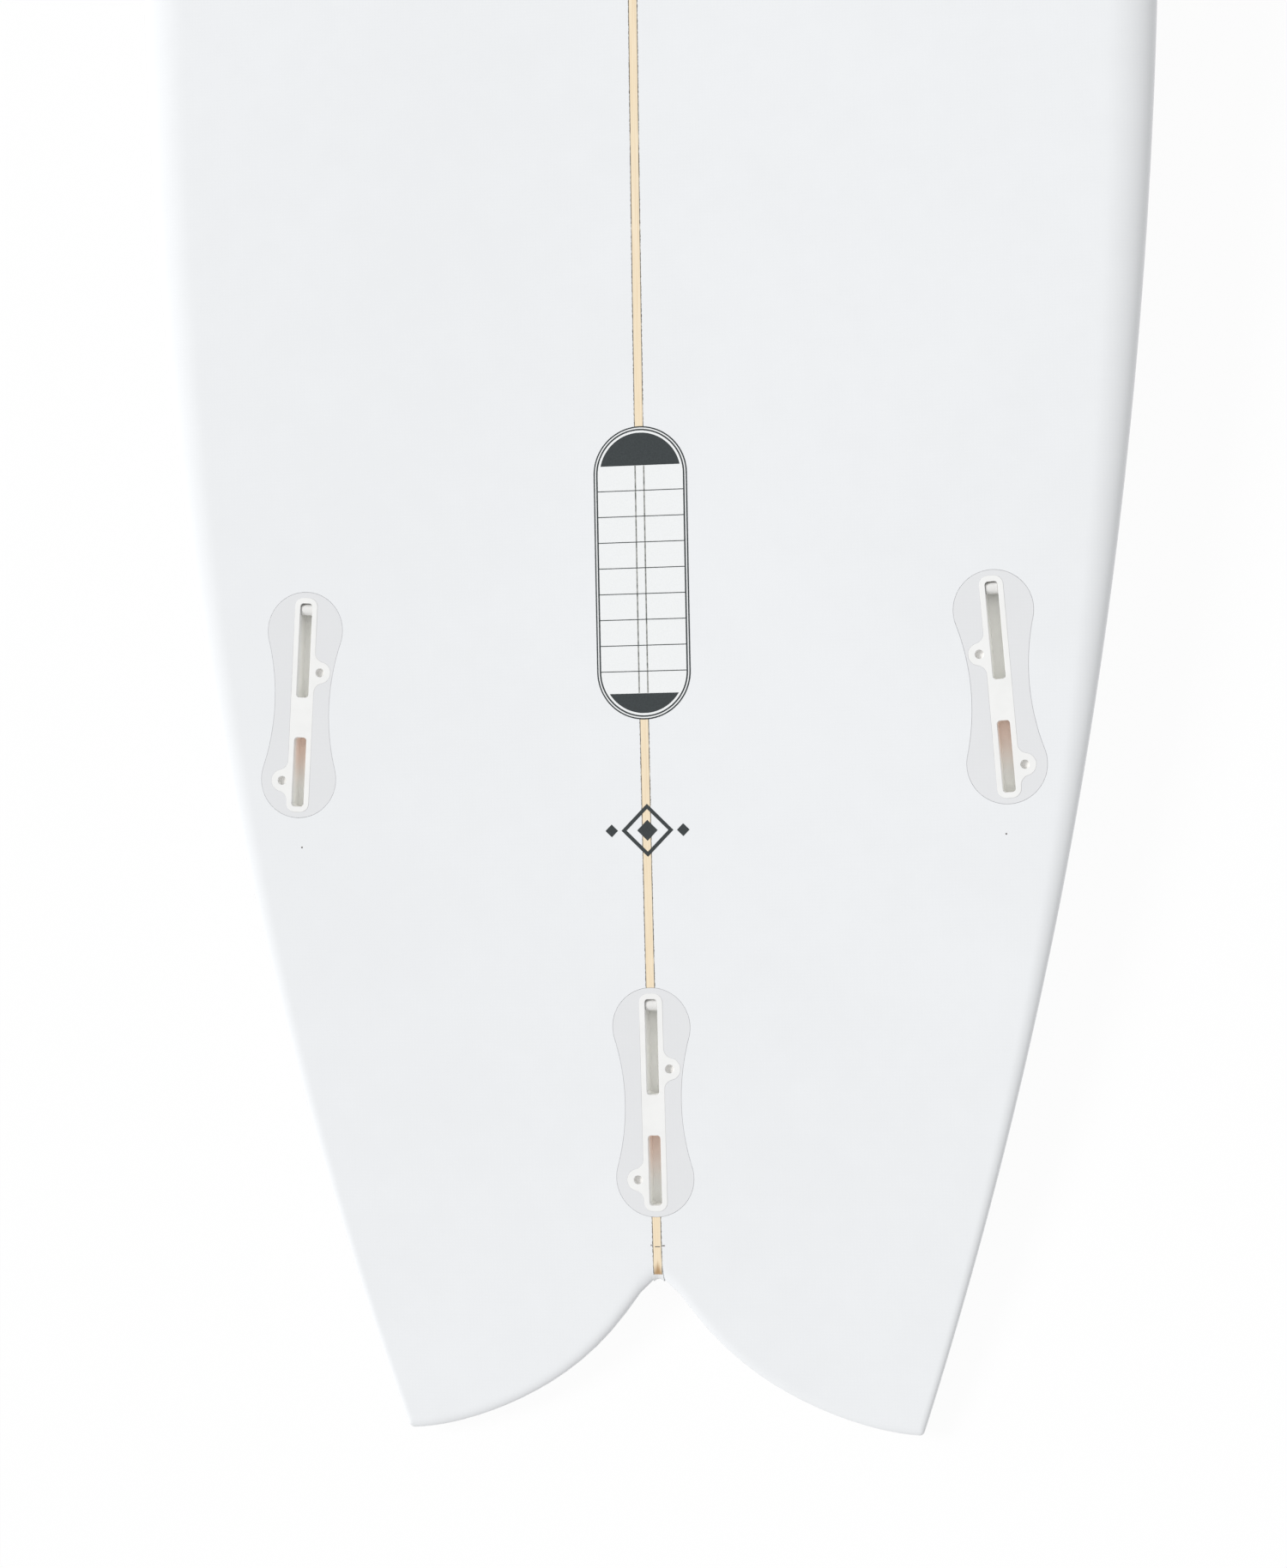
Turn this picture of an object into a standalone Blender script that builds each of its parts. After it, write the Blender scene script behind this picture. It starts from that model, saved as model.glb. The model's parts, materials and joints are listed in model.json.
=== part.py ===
"""Fish surfboard with a swallow tail, laid deck down: a foam blank in two halves on a wooden stringer,
a bottom and a deck laminate, three fin plugs with sprung retention barrels, and a leash cup in the deck."""

import math

import bmesh
import bpy
import numpy as np
from mathutils import Matrix, Vector

MM = 0.001

# Outline, measured from the tail tips towards the nose
BOARD_LENGTH = 1930.4 * MM
BOARD_WIDTH = 527.0 * MM
WIDE_POINT = 890.0 * MM
TAIL_TIP_SPAN = 263.6 * MM
NOTCH_DEPTH = 77.0 * MM
NOTCH_ROUNDING = 3.7 * MM
TAIL_CURVE = 2.3
NOSE_CURVE = 2.6
NOSE_ROUNDNESS = 0.62
NOTCH_CURVE = 1.741
NOTCH_POINT_CURVE = 5.924
NOTCH_POINT_SHARE = 0.258

# Thickness and rocker
BOARD_THICKNESS = 69.85 * MM
THICK_POINT = 960.0 * MM
TAIL_DECK_RISE = 16.0 * MM
THICKNESS_CURVE = 2.3
THICKNESS_ROUNDNESS = 0.6
TAIL_ROCKER = 50.0 * MM
NOSE_ROCKER = 112.0 * MM
TAIL_ROCKER_CURVE = 2.1
NOSE_ROCKER_CURVE = 2.4

# Rails: height of the bottom over the rail line, and width of the roll between them
EDGE_RISE_MID = 12.0 * MM
EDGE_RISE_TAIL = 2.4 * MM
EDGE_ROLL_MID = 26.0 * MM
EDGE_ROLL_TAIL = 4.0 * MM
DECK_CROWN = 2.9
DECK_CROWN_ROOT = 2.25
TAIL_END_ROLL = 14.0 * MM

# Layers
LAMINATE = 1.1 * MM
FIT_GAP = 0.3 * MM
STRINGER_THICKNESS = 3.9 * MM
GLUE_THICKNESS = 0.5 * MM
NOSE_RESIN = 20.0 * MM

# Fin plugs
SLOT_WIDTH = 6.3 * MM
FRONT_SLOT_LENGTH = 47.9 * MM
REAR_SLOT_LENGTH = 35.2 * MM
SLOT_BRIDGE = 20.4 * MM
SLOT_DEPTH = 11.0 * MM
SLOT_CORNER = 1.6 * MM
PLUG_WIDTH = 11.9 * MM
PLUG_END_WALL = 2.9 * MM
PLUG_FLOOR = 1.7 * MM
PLUG_CORNER = 4.6 * MM
EAR_OFFSET = 8.7 * MM
EAR_RADIUS = 5.6 * MM
EAR_FILLET = 5.0 * MM
EAR_FROM_SLOT_END = 12.9 * MM
SCREW_HOLE_DIAMETER = 4.4 * MM
SCREW_HOLE_DEPTH = 3.0 * MM

# Peanut-shaped surrounds
SURROUND_LENGTH = 115.0 * MM
SURROUND_WIDTH = 39.4 * MM
SURROUND_WAIST = 28.6 * MM
SURROUND_TOP = 1.8 * MM

# Retention barrels
BARREL_DIAMETER = 6.0 * MM
BARREL_LENGTH = 5.5 * MM
BARREL_CENTRE_DEPTH = 3.9 * MM
BARREL_TRAVEL = 0.9 * MM
BARREL_CHAMFER = 0.5 * MM
PIN_DIAMETER = 2.2 * MM
PIN_LENGTH = 9.8 * MM
PIN_CLEARANCE = 0.25 * MM
BUFFER_LENGTH = 1.35 * MM
BUFFER_WIDTH = 5.4 * MM
BUFFER_HEIGHT = 4.2 * MM
POCKET_LIP = 1.3 * MM

# Places of the plugs
SIDE_PLUG_FROM_TIPS = 314.8 * MM
SIDE_PLUG_FROM_RAIL = 34.0 * MM
SIDE_PLUG_TOE = 3.92
CENTRE_PLUG_FROM_NOTCH = 35.6 * MM

# Leash cup
CUP_DIAMETER = 28.0 * MM
CUP_BORE = 20.0 * MM
CUP_DEPTH = 15.5 * MM
CUP_BORE_DEPTH = 13.5 * MM
CUP_FLOOR_ROUND = 4.0 * MM
CUP_FROM_SURROUND = 6.0 * MM
LEASH_PIN_DIAMETER = 4.5 * MM
LEASH_PIN_SEAT = 2.3 * MM
LEASH_PIN_DEPTH = 4.4 * MM

# Mesh fineness
HALF_COLUMNS = 12
NOSE_ROWS = 12
MIDDLE_ROWS = 7
TAIL_ROWS = 10
TAIL_ZONE = 262.0 * MM

PLUG_DEPTH = SLOT_DEPTH + PLUG_FLOOR
SLOT_SPAN = FRONT_SLOT_LENGTH + SLOT_BRIDGE + REAR_SLOT_LENGTH
FOAM_INSET = LAMINATE + FIT_GAP
FOAM_SIDE = STRINGER_THICKNESS / 2 + GLUE_THICKNESS
BLANK_NOSE = BOARD_LENGTH - FOAM_INSET - NOSE_RESIN

for old in list(bpy.data.objects):
    bpy.data.objects.remove(old, do_unlink=True)


def smoothstep(q):
    q = np.clip(q, 0, 1)
    return q * q * (3 - 2 * q)


def nose_share(y, start, inset, curve, roundness):
    s = np.clip((y - start) / (BOARD_LENGTH - inset - start), 0, 1)
    return (1 - s**curve) ** roundness


def half_width(y, inset=0.0):
    """Half width of the outline: W - (W - tip) t^TAIL_CURVE behind the wide point, W (1 - s^a)^b ahead."""
    wide, tip = BOARD_WIDTH / 2, TAIL_TIP_SPAN / 2
    back = np.clip((WIDE_POINT - y) / WIDE_POINT, 0, None)
    tail = wide - inset - (wide - tip) * back**TAIL_CURVE
    nose = (wide - inset) * nose_share(y, WIDE_POINT, inset, NOSE_CURVE, NOSE_ROUNDNESS)
    return np.where(y < WIDE_POINT, tail, nose)


def edge_rise(y, inset=0.0):
    """Height of the bottom over the rail line."""
    tail = EDGE_RISE_TAIL + (EDGE_RISE_MID - EDGE_RISE_TAIL) * smoothstep(y / WIDE_POINT)
    nose = EDGE_RISE_MID * nose_share(y, WIDE_POINT, 0.0, NOSE_CURVE, NOSE_ROUNDNESS)
    return np.maximum(np.where(y < WIDE_POINT, tail, nose) - inset, 0)


def edge_roll(y):
    tail = EDGE_ROLL_TAIL + (EDGE_ROLL_MID - EDGE_ROLL_TAIL) * smoothstep(y / WIDE_POINT)
    nose = EDGE_ROLL_MID * nose_share(y, WIDE_POINT, 0.0, NOSE_CURVE, NOSE_ROUNDNESS)
    return np.where(y < WIDE_POINT, tail, nose) + 1e-6


def deck_rise(y, inset=0.0):
    """Height of the rail line over the middle of the deck, with the board deck down."""
    most = BOARD_THICKNESS - EDGE_RISE_MID
    back = np.clip((THICK_POINT - y) / THICK_POINT, 0, None)
    tail = most - (most - TAIL_DECK_RISE) * back**2
    nose = most * nose_share(y, THICK_POINT, 0.0, THICKNESS_CURVE, THICKNESS_ROUNDNESS)
    return np.maximum(np.where(y < THICK_POINT, tail, nose) - inset, 0)


def rocker(y):
    back = np.clip((WIDE_POINT - y) / WIDE_POINT, 0, None)
    ahead = np.clip((y - WIDE_POINT) / (BOARD_LENGTH - WIDE_POINT), 0, None)
    return -TAIL_ROCKER * back**TAIL_ROCKER_CURVE - NOSE_ROCKER * ahead**NOSE_ROCKER_CURVE


def trailing_edge(v, inset=0.0):
    """Distance of the tail's end from the tips: two lobes that swell towards the tail on either side of the
    notch. The notch is the sum of two powers of the way out to the tips, a wide one and one for its point."""
    soft = NOTCH_ROUNDING / (TAIL_TIP_SPAN / 2)
    u = (np.sqrt(v * v + soft * soft) - soft) / (math.sqrt(1 + soft * soft) - soft)
    left = 1 - np.clip(u, 0, 1)
    end, slope = 0.0, 0.0
    for share, curve in ((1 - NOTCH_POINT_SHARE, NOTCH_CURVE), (NOTCH_POINT_SHARE, NOTCH_POINT_CURVE)):
        end = end + share * NOTCH_DEPTH * left**curve
        slope = slope + share * curve * NOTCH_DEPTH * left ** (curve - 1) / (TAIL_TIP_SPAN / 2)
    lean = np.sqrt(1 + slope * slope)
    return end + inset * lean, lean


def stations(nose_end):
    """Rows from the nose to the tail, as (distance from the tips, share of the way into the tail's end). A
    skin starts at its own point, the blank at the flat cut behind it, and all other rows are shared."""
    rows = [(BLANK_NOSE, 0.0)]
    if nose_end:
        rows = [(nose_end, 0.0), (nose_end + (BLANK_NOSE - nose_end) * 0.3, 0.0)] + rows
    for k in range(2, NOSE_ROWS):
        rows.append((WIDE_POINT + (BOARD_LENGTH - WIDE_POINT) * math.cos(math.pi / 2 * k / NOSE_ROWS), 0.0))
    for k in range(MIDDLE_ROWS):
        rows.append((WIDE_POINT + (TAIL_ZONE - WIDE_POINT) * k / MIDDLE_ROWS, 0.0))
    for k in range(TAIL_ROWS + 1):
        rows.append((TAIL_ZONE, 1 - (1 - k / TAIL_ROWS) ** 2.2))
    return rows


HALF_V = np.array([(1 - math.cos(math.pi * j / HALF_COLUMNS)) / 2 for j in range(HALF_COLUMNS + 1)])
FULL_V = np.concatenate([-HALF_V[:0:-1], HALF_V])


def layer(inset, side=0.0, blank=False, drop=0.0, columns=FULL_V):
    """Bottom and deck points of one layer, set in from the outside by inset. Rows run from nose to tail,
    columns across. side is where a half starts beside the middle, and drop lowers the deck's seam under the
    rail line."""
    nose_end = None if blank else BOARD_LENGTH - inset
    v = columns[None, :]
    y0 = np.array([[r[0]] for r in stations(nose_end)])
    share = np.array([[r[1]] for r in stations(nose_end)])
    end, lean = trailing_edge(np.abs(v), inset)
    tip_end = trailing_edge(np.array([1.0]), inset)[0][0]
    y = (1 - share) * y0 + share * end
    rail_y = (1 - share) * y0 + share * tip_end
    width = half_width(rail_y, inset)
    sign = np.where(v < 0, -1.0, 1.0)
    x = sign * (side + np.abs(v) * (width - side))
    across = np.clip(np.abs(x) / np.maximum(width, 1e-9), 0, 1)
    from_rail = (1 - across) * width
    from_end = (y - end) / lean
    near = np.clip(np.minimum(from_rail, from_end) / edge_roll(y), 0, 1)
    roll = np.sqrt(np.clip(1 - (1 - near) ** 2, 0, 1))
    crown = (1 - across**DECK_CROWN) ** (1 / DECK_CROWN_ROOT)
    tail_end = np.clip(1 - (1 - np.clip(from_end / TAIL_END_ROLL, 0, 1)) ** 2.2, 0, 1) ** (1 / 2.2)
    rail = rocker(y) - edge_rise(y)
    bottom = rail + edge_rise(y, inset) * roll
    deck = rail - drop - (deck_rise(y, inset) - drop) * crown * tail_end
    return x, y, bottom, deck


def rest_line():
    """Height and slope of the floor under the deck: the line that touches the deck near its two ends."""
    x, y, bottom, deck = layer(0.0, drop=FIT_GAP)
    y, deck = y.ravel(), deck.ravel()
    slope = 0.0
    for _ in range(20):
        left = deck - slope * y
        nose = np.argmin(np.where(y > BOARD_LENGTH / 2, left, np.inf))
        tail = np.argmin(np.where(y < BOARD_LENGTH / 2, left, np.inf))
        slope = (deck[nose] - deck[tail]) / (y[nose] - y[tail])
    return float(np.min(deck - slope * y)), float(slope)


FLOOR, SLOPE = rest_line()


def placed(x, y, z):
    """World points: the floor at z = 0 and the middle of the length at y = 0."""
    return np.stack(np.broadcast_arrays(x, y - BOARD_LENGTH / 2, z - FLOOR - SLOPE * y), axis=-1)


def bottom_z(y):
    return float(rocker(np.array(y)) - FLOOR - SLOPE * y)


def material(name, colour, roughness):
    m = bpy.data.materials.new(name)
    m.use_nodes = True
    shader = m.node_tree.nodes["Principled BSDF"]
    shader.inputs["Base Color"].default_value = (*colour, 1.0)
    shader.inputs["Roughness"].default_value = roughness
    return m


FOAM = material("white_foam", (0.86, 0.87, 0.88), 0.8)
WOOD = material("stringer_wood", (0.72, 0.58, 0.40), 0.6)
GLUE = material("dark_glue", (0.16, 0.16, 0.16), 0.5)
LAMINATE_RESIN = material("glass_laminate", (0.84, 0.86, 0.87), 0.15)
PLUG_PLASTIC = material("white_plug_plastic", (0.88, 0.87, 0.84), 0.35)
SURROUND_RESIN = material("surround_resin", (0.80, 0.81, 0.82), 0.4)
BARREL_PLASTIC = material("barrel_plastic", (0.90, 0.89, 0.86), 0.3)
PIN_METAL = material("pin_metal", (0.62, 0.62, 0.60), 0.3)
BUFFER_RUBBER = material("buffer_rubber", (0.88, 0.86, 0.82), 0.7)
CUP_PLASTIC = material("cup_plastic", (0.88, 0.88, 0.87), 0.35)


def add(name, vertices, faces, finish=None, parent=None, at=(0, 0, 0)):
    mesh = bpy.data.meshes.new(name)
    mesh.from_pydata([tuple(map(float, p)) for p in vertices], [], faces)
    bm = bmesh.new()
    bm.from_mesh(mesh)
    bmesh.ops.remove_doubles(bm, verts=bm.verts, dist=1e-6)
    bmesh.ops.recalc_face_normals(bm, faces=bm.faces)
    bm.to_mesh(mesh)
    bm.free()
    obj = bpy.data.objects.new(name, mesh)
    bpy.context.scene.collection.objects.link(obj)
    if finish:
        mesh.materials.append(finish)
    else:
        obj.hide_render = True
        obj.display_type = "WIRE"
    obj.parent = parent
    obj.location = at
    return obj


def cut(obj, tool):
    mod = obj.modifiers.new("cut_" + tool.name, "BOOLEAN")
    mod.operation = "DIFFERENCE"
    mod.solver = "EXACT"
    mod.object = tool


def grid(rows, cols, start, middle=0):
    """Triangles of a grid. All diagonals run outwards from the middle column, alike in every layer."""
    faces = []
    for r in range(rows - 1):
        for c in range(cols - 1):
            a = start + r * cols + (c if c >= middle else c + 1)
            b = start + r * cols + (c + 1 if c >= middle else c)
            faces += [(a, b, b + cols), (a, b + cols, a + cols)]
    return faces


def skin(name, outer, inner, finish):
    """A closed shell between two grids that share their outline: rails, tail and the point of the nose."""
    rows, cols = outer.shape[:2]
    n = rows * cols
    faces = grid(rows, cols, 0, cols // 2) + grid(rows, cols, n, cols // 2)
    for r in range(rows - 1):
        for c in (0, cols - 1):
            a, b = r * cols + c, (r + 1) * cols + c
            faces.append((a, b, b + n, a + n))
    for c in range(cols - 1):
        a = (rows - 1) * cols + c
        faces.append((a, a + 1, a + 1 + n, a + n))
    return add(name, np.concatenate([outer.reshape(-1, 3), inner.reshape(-1, 3)]), faces, finish)


def half_core(name, sign):
    """One half of the foam blank, with a flat wall beside the glue line and a flat cut at the nose."""
    x, y, bottom, deck = layer(FOAM_INSET, FOAM_SIDE, True, columns=HALF_V)
    top, low = placed(sign * x, y, bottom), placed(sign * x, y, deck)
    rows, cols = top.shape[:2]
    n = rows * cols
    faces = grid(rows, cols, 0) + grid(rows, cols, n)
    for r in range(rows - 1):
        a, b = r * cols, (r + 1) * cols
        faces.append((a, b, b + n, a + n))
    for c in range(cols - 1):
        faces.append((c, c + 1, c + 1 + n, c + n))
    return add(name, np.concatenate([top.reshape(-1, 3), low.reshape(-1, 3)]), faces, FOAM)


def upright(name, x0, x1, finish):
    """A flat strip that stands along the middle of the blank, between x0 and x1."""
    x, y, bottom, deck = layer(FOAM_INSET, FOAM_SIDE, True, columns=HALF_V[:1])
    points = []
    for r in range(len(y)):
        for px, pz in ((x0, bottom), (x1, bottom), (x1, deck), (x0, deck)):
            points.append(placed(np.array(px), y[r, 0], pz[r, 0]))
    faces = [(0, 1, 2, 3)]
    for r in range(len(y) - 1):
        a = 4 * r
        for k in range(4):
            faces.append((a + k, a + (k + 1) % 4, a + 4 + (k + 1) % 4, a + 4 + k))
    return add(name, points, faces, finish)


def arc(cx, cy, radius, start, stop, steps):
    turns = [math.radians(start + (stop - start) * k / steps) for k in range(steps + 1)]
    return [(cx + radius * math.cos(t), cy + radius * math.sin(t)) for t in turns]


def prism(name, outline, low, high, finish=None, parent=None):
    n = len(outline)
    points = [(x, y, low) for x, y in outline] + [(x, y, high) for x, y in outline]
    faces = [tuple(range(n))[::-1], tuple(range(n, 2 * n))]
    faces += [(k, (k + 1) % n, n + (k + 1) % n, n + k) for k in range(n)]
    return add(name, points, faces, finish, parent)


def rounded_bar(half_wide, back, front, corner, steps=4):
    c = corner
    return (
        arc(half_wide - c, front - c, c, 0, 90, steps)
        + arc(c - half_wide, front - c, c, 90, 180, steps)
        + arc(c - half_wide, back + c, c, 180, 270, steps)
        + arc(half_wide - c, back + c, c, 270, 360, steps)
    )


FRONT_END = SLOT_SPAN / 2
FRONT_SLOT_BACK = FRONT_END - FRONT_SLOT_LENGTH
REAR_END = -SLOT_SPAN / 2
REAR_SLOT_FRONT = REAR_END + REAR_SLOT_LENGTH
FRONT_EAR = FRONT_SLOT_BACK + EAR_FROM_SLOT_END
REAR_EAR = REAR_END + EAR_FROM_SLOT_END


def ear(at, grow, steps=4):
    """Outline of one screw ear on the right side of a plug, back to front, with a fillet at either end."""
    edge, radius, fillet = PLUG_WIDTH / 2 + grow, EAR_RADIUS + grow, EAR_FILLET - grow
    rise = edge + fillet - EAR_OFFSET
    reach = math.sqrt((radius + fillet) ** 2 - rise**2)
    turn = math.degrees(math.atan2(rise, reach))
    # The fillets' centres lie outside the plug, so their arcs turn the other way
    turns = [math.radians((90 - turn) * k / steps) for k in range(steps)]
    back = [(edge + fillet - fillet * math.cos(t), at - reach + fillet * math.sin(t)) for t in turns]
    cap = arc(EAR_OFFSET, at, radius, turn - 90, 90 - turn, 2 * steps + 2)
    front = [(x, 2 * at - y) for x, y in back[::-1]]
    return back + cap + front


def plug_outline(ear_side, grow=0.0):
    """Outline of a plug's face: a bar with rounded ends and two ears. ear_side is the front ear's side."""
    half, length = PLUG_WIDTH / 2 + grow, SLOT_SPAN / 2 + PLUG_END_WALL + grow
    c = PLUG_CORNER + grow
    right = arc(half - c, -length + c, c, -90, 0, 4) + ear(FRONT_EAR, grow)
    right += arc(half - c, length - c, c, 0, 90, 4)
    left = arc(half - c, -length + c, c, -90, 0, 4) + ear(REAR_EAR, grow)
    left += arc(half - c, length - c, c, 0, 90, 4)
    points = [(ear_side * x, y) for x, y in right] + [(-ear_side * x, y) for x, y in left[::-1]]
    return points


def peanut(grow=0.0, steps=10):
    """Outline of a surround: two round lobes joined by hollow sides."""
    lobe, waist = SURROUND_WIDTH / 2 + grow, SURROUND_WAIST / 2 + grow
    centre = SURROUND_LENGTH / 2 - SURROUND_WIDTH / 2
    hollow = (centre**2 + waist**2 - lobe**2) / (2 * (lobe - waist))
    turn = math.degrees(math.atan2(waist + hollow, centre))
    side = arc(waist + hollow, 0, hollow, 180 - (90 - turn), 180 + (90 - turn), 8)
    top = arc(0, centre, lobe, turn - 90, 270 - turn, 2 * steps)
    right = [(x, y) for x, y in side[::-1]]
    low = [(-x, -y) for x, y in top]
    left = [(-x, -y) for x, y in right]
    return right[1:-1] + top + left[1:-1] + low


def revolve(name, profile, steps, axis, finish=None, parent=None, at=(0, 0, 0)):
    """A turned solid about axis X or Z. The profile is (radius, along); ends at radius 0 become points, and a
    profile that meets no axis closes on itself."""
    closed = profile[0][0] > 0
    points, faces = [], []
    for radius, along in profile:
        for k in range(steps):
            t = 2 * math.pi * k / steps
            a, b = radius * math.cos(t), radius * math.sin(t)
            points.append((along, a, b) if axis == "X" else (a, b, along))
    n = len(profile)
    for p in range(n if closed else n - 1):
        for k in range(steps):
            q = (p + 1) % n
            k2 = (k + 1) % steps
            faces.append((p * steps + k, p * steps + k2, q * steps + k2, q * steps + k))
    return add(name, points, faces, finish, parent, at)


def block(name, low, high, finish=None, parent=None, bevel=0.0):
    (x0, y0, z0), (x1, y1, z1) = low, high
    points = [(x, y, z) for z in (z0, z1) for x, y in ((x0, y0), (x1, y0), (x1, y1), (x0, y1))]
    faces = [(3, 2, 1, 0), (4, 5, 6, 7), (0, 1, 5, 4), (1, 2, 6, 5), (2, 3, 7, 6), (3, 0, 4, 7)]
    obj = add(name, points, faces, finish, parent)
    if bevel:
        mod = obj.modifiers.new("edges", "BEVEL")
        mod.width = bevel
        mod.segments = 2
        mod.limit_method = "NONE"
    return obj


def empty(name, matrix):
    obj = bpy.data.objects.new(name, None)
    bpy.context.scene.collection.objects.link(obj)
    obj.matrix_world = matrix
    return obj


def surface_frame(name, x, y, toe):
    """An empty on the bottom at (x, y from the tips): local Y to the nose, local Z out of the bottom."""
    step = 0.01
    along = Vector((0, 2 * step, bottom_z(y + step) - bottom_z(y - step))).normalized()
    out = Vector((1, 0, 0)).cross(along)
    turn = Matrix((Vector((1, 0, 0)), along, out)).transposed().to_4x4()
    spot = Matrix.Translation((x, y - BOARD_LENGTH / 2, bottom_z(y)))
    return empty(name, spot @ turn @ Matrix.Rotation(math.radians(toe), 4, "Z"))


# Blank, stringer and laminates
x, y, bottom, deck = layer(0.0)
inner_x, inner_y, inner_bottom, inner_deck = layer(LAMINATE)
bottom_laminate = skin(
    "bottom_laminate", placed(x, y, bottom), placed(inner_x, inner_y, inner_bottom), LAMINATE_RESIN
)
x, y, bottom, deck = layer(0.0, drop=FIT_GAP)
inner_x, inner_y, inner_bottom, inner_deck = layer(LAMINATE, drop=FIT_GAP)
deck_laminate = skin(
    "deck_laminate", placed(x, y, deck), placed(inner_x, inner_y, inner_deck), LAMINATE_RESIN
)
foam_left = half_core("foam_core_left", -1)
foam_right = half_core("foam_core_right", 1)
half_stringer = STRINGER_THICKNESS / 2
stringer = upright("stringer", -half_stringer, half_stringer, WOOD)
glue_left = upright("stringer_glue_left", -FOAM_SIDE, -half_stringer, GLUE)
glue_right = upright("stringer_glue_right", half_stringer, FOAM_SIDE, GLUE)

# Fin plugs: each in its own frame, with the middle of its slots at the origin
SIDE_Y = SIDE_PLUG_FROM_TIPS + SLOT_SPAN / 2 * math.cos(math.radians(SIDE_PLUG_TOE))
REAR_X = float(half_width(np.array(SIDE_PLUG_FROM_TIPS))) - SIDE_PLUG_FROM_RAIL
SIDE_X = REAR_X - SLOT_SPAN / 2 * math.sin(math.radians(SIDE_PLUG_TOE))
CENTRE_Y = NOTCH_DEPTH + CENTRE_PLUG_FROM_NOTCH + SLOT_SPAN / 2
PLUGS = (
    ("left", -SIDE_X, SIDE_Y, -SIDE_PLUG_TOE, 1),
    ("right", SIDE_X, SIDE_Y, SIDE_PLUG_TOE, -1),
    ("centre", 0.0, CENTRE_Y, 0.0, 1),
)
BARREL_Y = FRONT_END - BARREL_DIAMETER / 2
BUFFER_BACK = BARREL_Y + BARREL_DIAMETER / 2 + FIT_GAP
POCKET_FRONT = BUFFER_BACK + BUFFER_LENGTH + FIT_GAP
BORE = PIN_DIAMETER / 2 + PIN_CLEARANCE

for side, px, py, toe, ear_side in PLUGS:
    base = surface_frame(side + "_plug_frame", px, py, toe)
    outline = plug_outline(ear_side)
    plug = prism(side + "_fin_plug", outline, -PLUG_DEPTH, 0.0, PLUG_PLASTIC, base)
    half_slot = SLOT_WIDTH / 2
    front_slot = rounded_bar(half_slot, FRONT_SLOT_BACK, FRONT_END, SLOT_CORNER)
    rear_slot = rounded_bar(half_slot, REAR_END, REAR_SLOT_FRONT, SLOT_CORNER)
    cut(plug, prism(side + "_front_slot_tool", front_slot, -SLOT_DEPTH, 0.01, None, base))
    cut(plug, prism(side + "_rear_slot_tool", rear_slot, -SLOT_DEPTH, 0.01, None, base))
    for spot, ear_y, ear_x in (("front", FRONT_EAR, ear_side), ("rear", REAR_EAR, -ear_side)):
        hole = arc(ear_x * EAR_OFFSET, ear_y, SCREW_HOLE_DIAMETER / 2, 0, 337.5, 15)
        cut(plug, prism(side + "_" + spot + "_screw_tool", hole, -SCREW_HOLE_DEPTH, 0.01, None, base))
    pocket_low = -BARREL_CENTRE_DEPTH - BARREL_DIAMETER / 2 - 0.6 * MM
    cut(plug, block(
        side + "_pocket_tool",
        (-half_slot, BARREL_Y - BARREL_DIAMETER / 2, pocket_low),
        (half_slot, POCKET_FRONT, -POCKET_LIP), None, base,
    ))
    groove = PIN_DIAMETER / 2 + PIN_CLEARANCE
    cut(plug, block(
        side + "_groove_tool",
        (-PIN_LENGTH / 2 - FIT_GAP, BARREL_Y - groove, -BARREL_CENTRE_DEPTH - groove),
        (PIN_LENGTH / 2 + FIT_GAP, BARREL_Y + BARREL_TRAVEL + groove, -BARREL_CENTRE_DEPTH + groove),
        None, base,
    ))

    surround = prism(side + "_plug_surround", peanut(), -PLUG_DEPTH, -SURROUND_TOP, SURROUND_RESIN, base)
    grown = plug_outline(ear_side, FIT_GAP)
    cut(surround, prism(side + "_seat_tool", grown, -PLUG_DEPTH - 0.01, 0.01, None, base))
    cut(bottom_laminate, prism(side + "_face_tool", grown, -0.008, 0.01, None, base))
    pocket = prism(side + "_foam_tool", peanut(FIT_GAP), -PLUG_DEPTH - FIT_GAP, 0.02, None, base)
    for body in {"left": (foam_left,), "right": (foam_right,)}.get(
        side, (foam_left, foam_right, stringer, glue_left, glue_right)
    ):
        cut(body, pocket)

    axle = (0.0, BARREL_Y, -BARREL_CENTRE_DEPTH)
    r, h, c = BARREL_DIAMETER / 2, BARREL_LENGTH / 2, BARREL_CHAMFER
    ring = [(BORE, -h), (r - c, -h), (r, -h + c), (r, h - c), (r - c, h), (BORE, h)]
    revolve(side + "_retention_barrel", ring, 20, "X", BARREL_PLASTIC, base, axle)
    rod = [(0.0, -PIN_LENGTH / 2), (PIN_DIAMETER / 2, -PIN_LENGTH / 2), (PIN_DIAMETER / 2, PIN_LENGTH / 2)]
    revolve(side + "_barrel_pin", rod + [(0.0, PIN_LENGTH / 2)], 14, "X", PIN_METAL, base, axle)
    block(
        side + "_barrel_buffer",
        (-BUFFER_WIDTH / 2, BUFFER_BACK, -BARREL_CENTRE_DEPTH - BUFFER_HEIGHT / 2),
        (BUFFER_WIDTH / 2, BUFFER_BACK + BUFFER_LENGTH, -BARREL_CENTRE_DEPTH + BUFFER_HEIGHT / 2),
        BUFFER_RUBBER, base, 0.3 * MM,
    )


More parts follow.
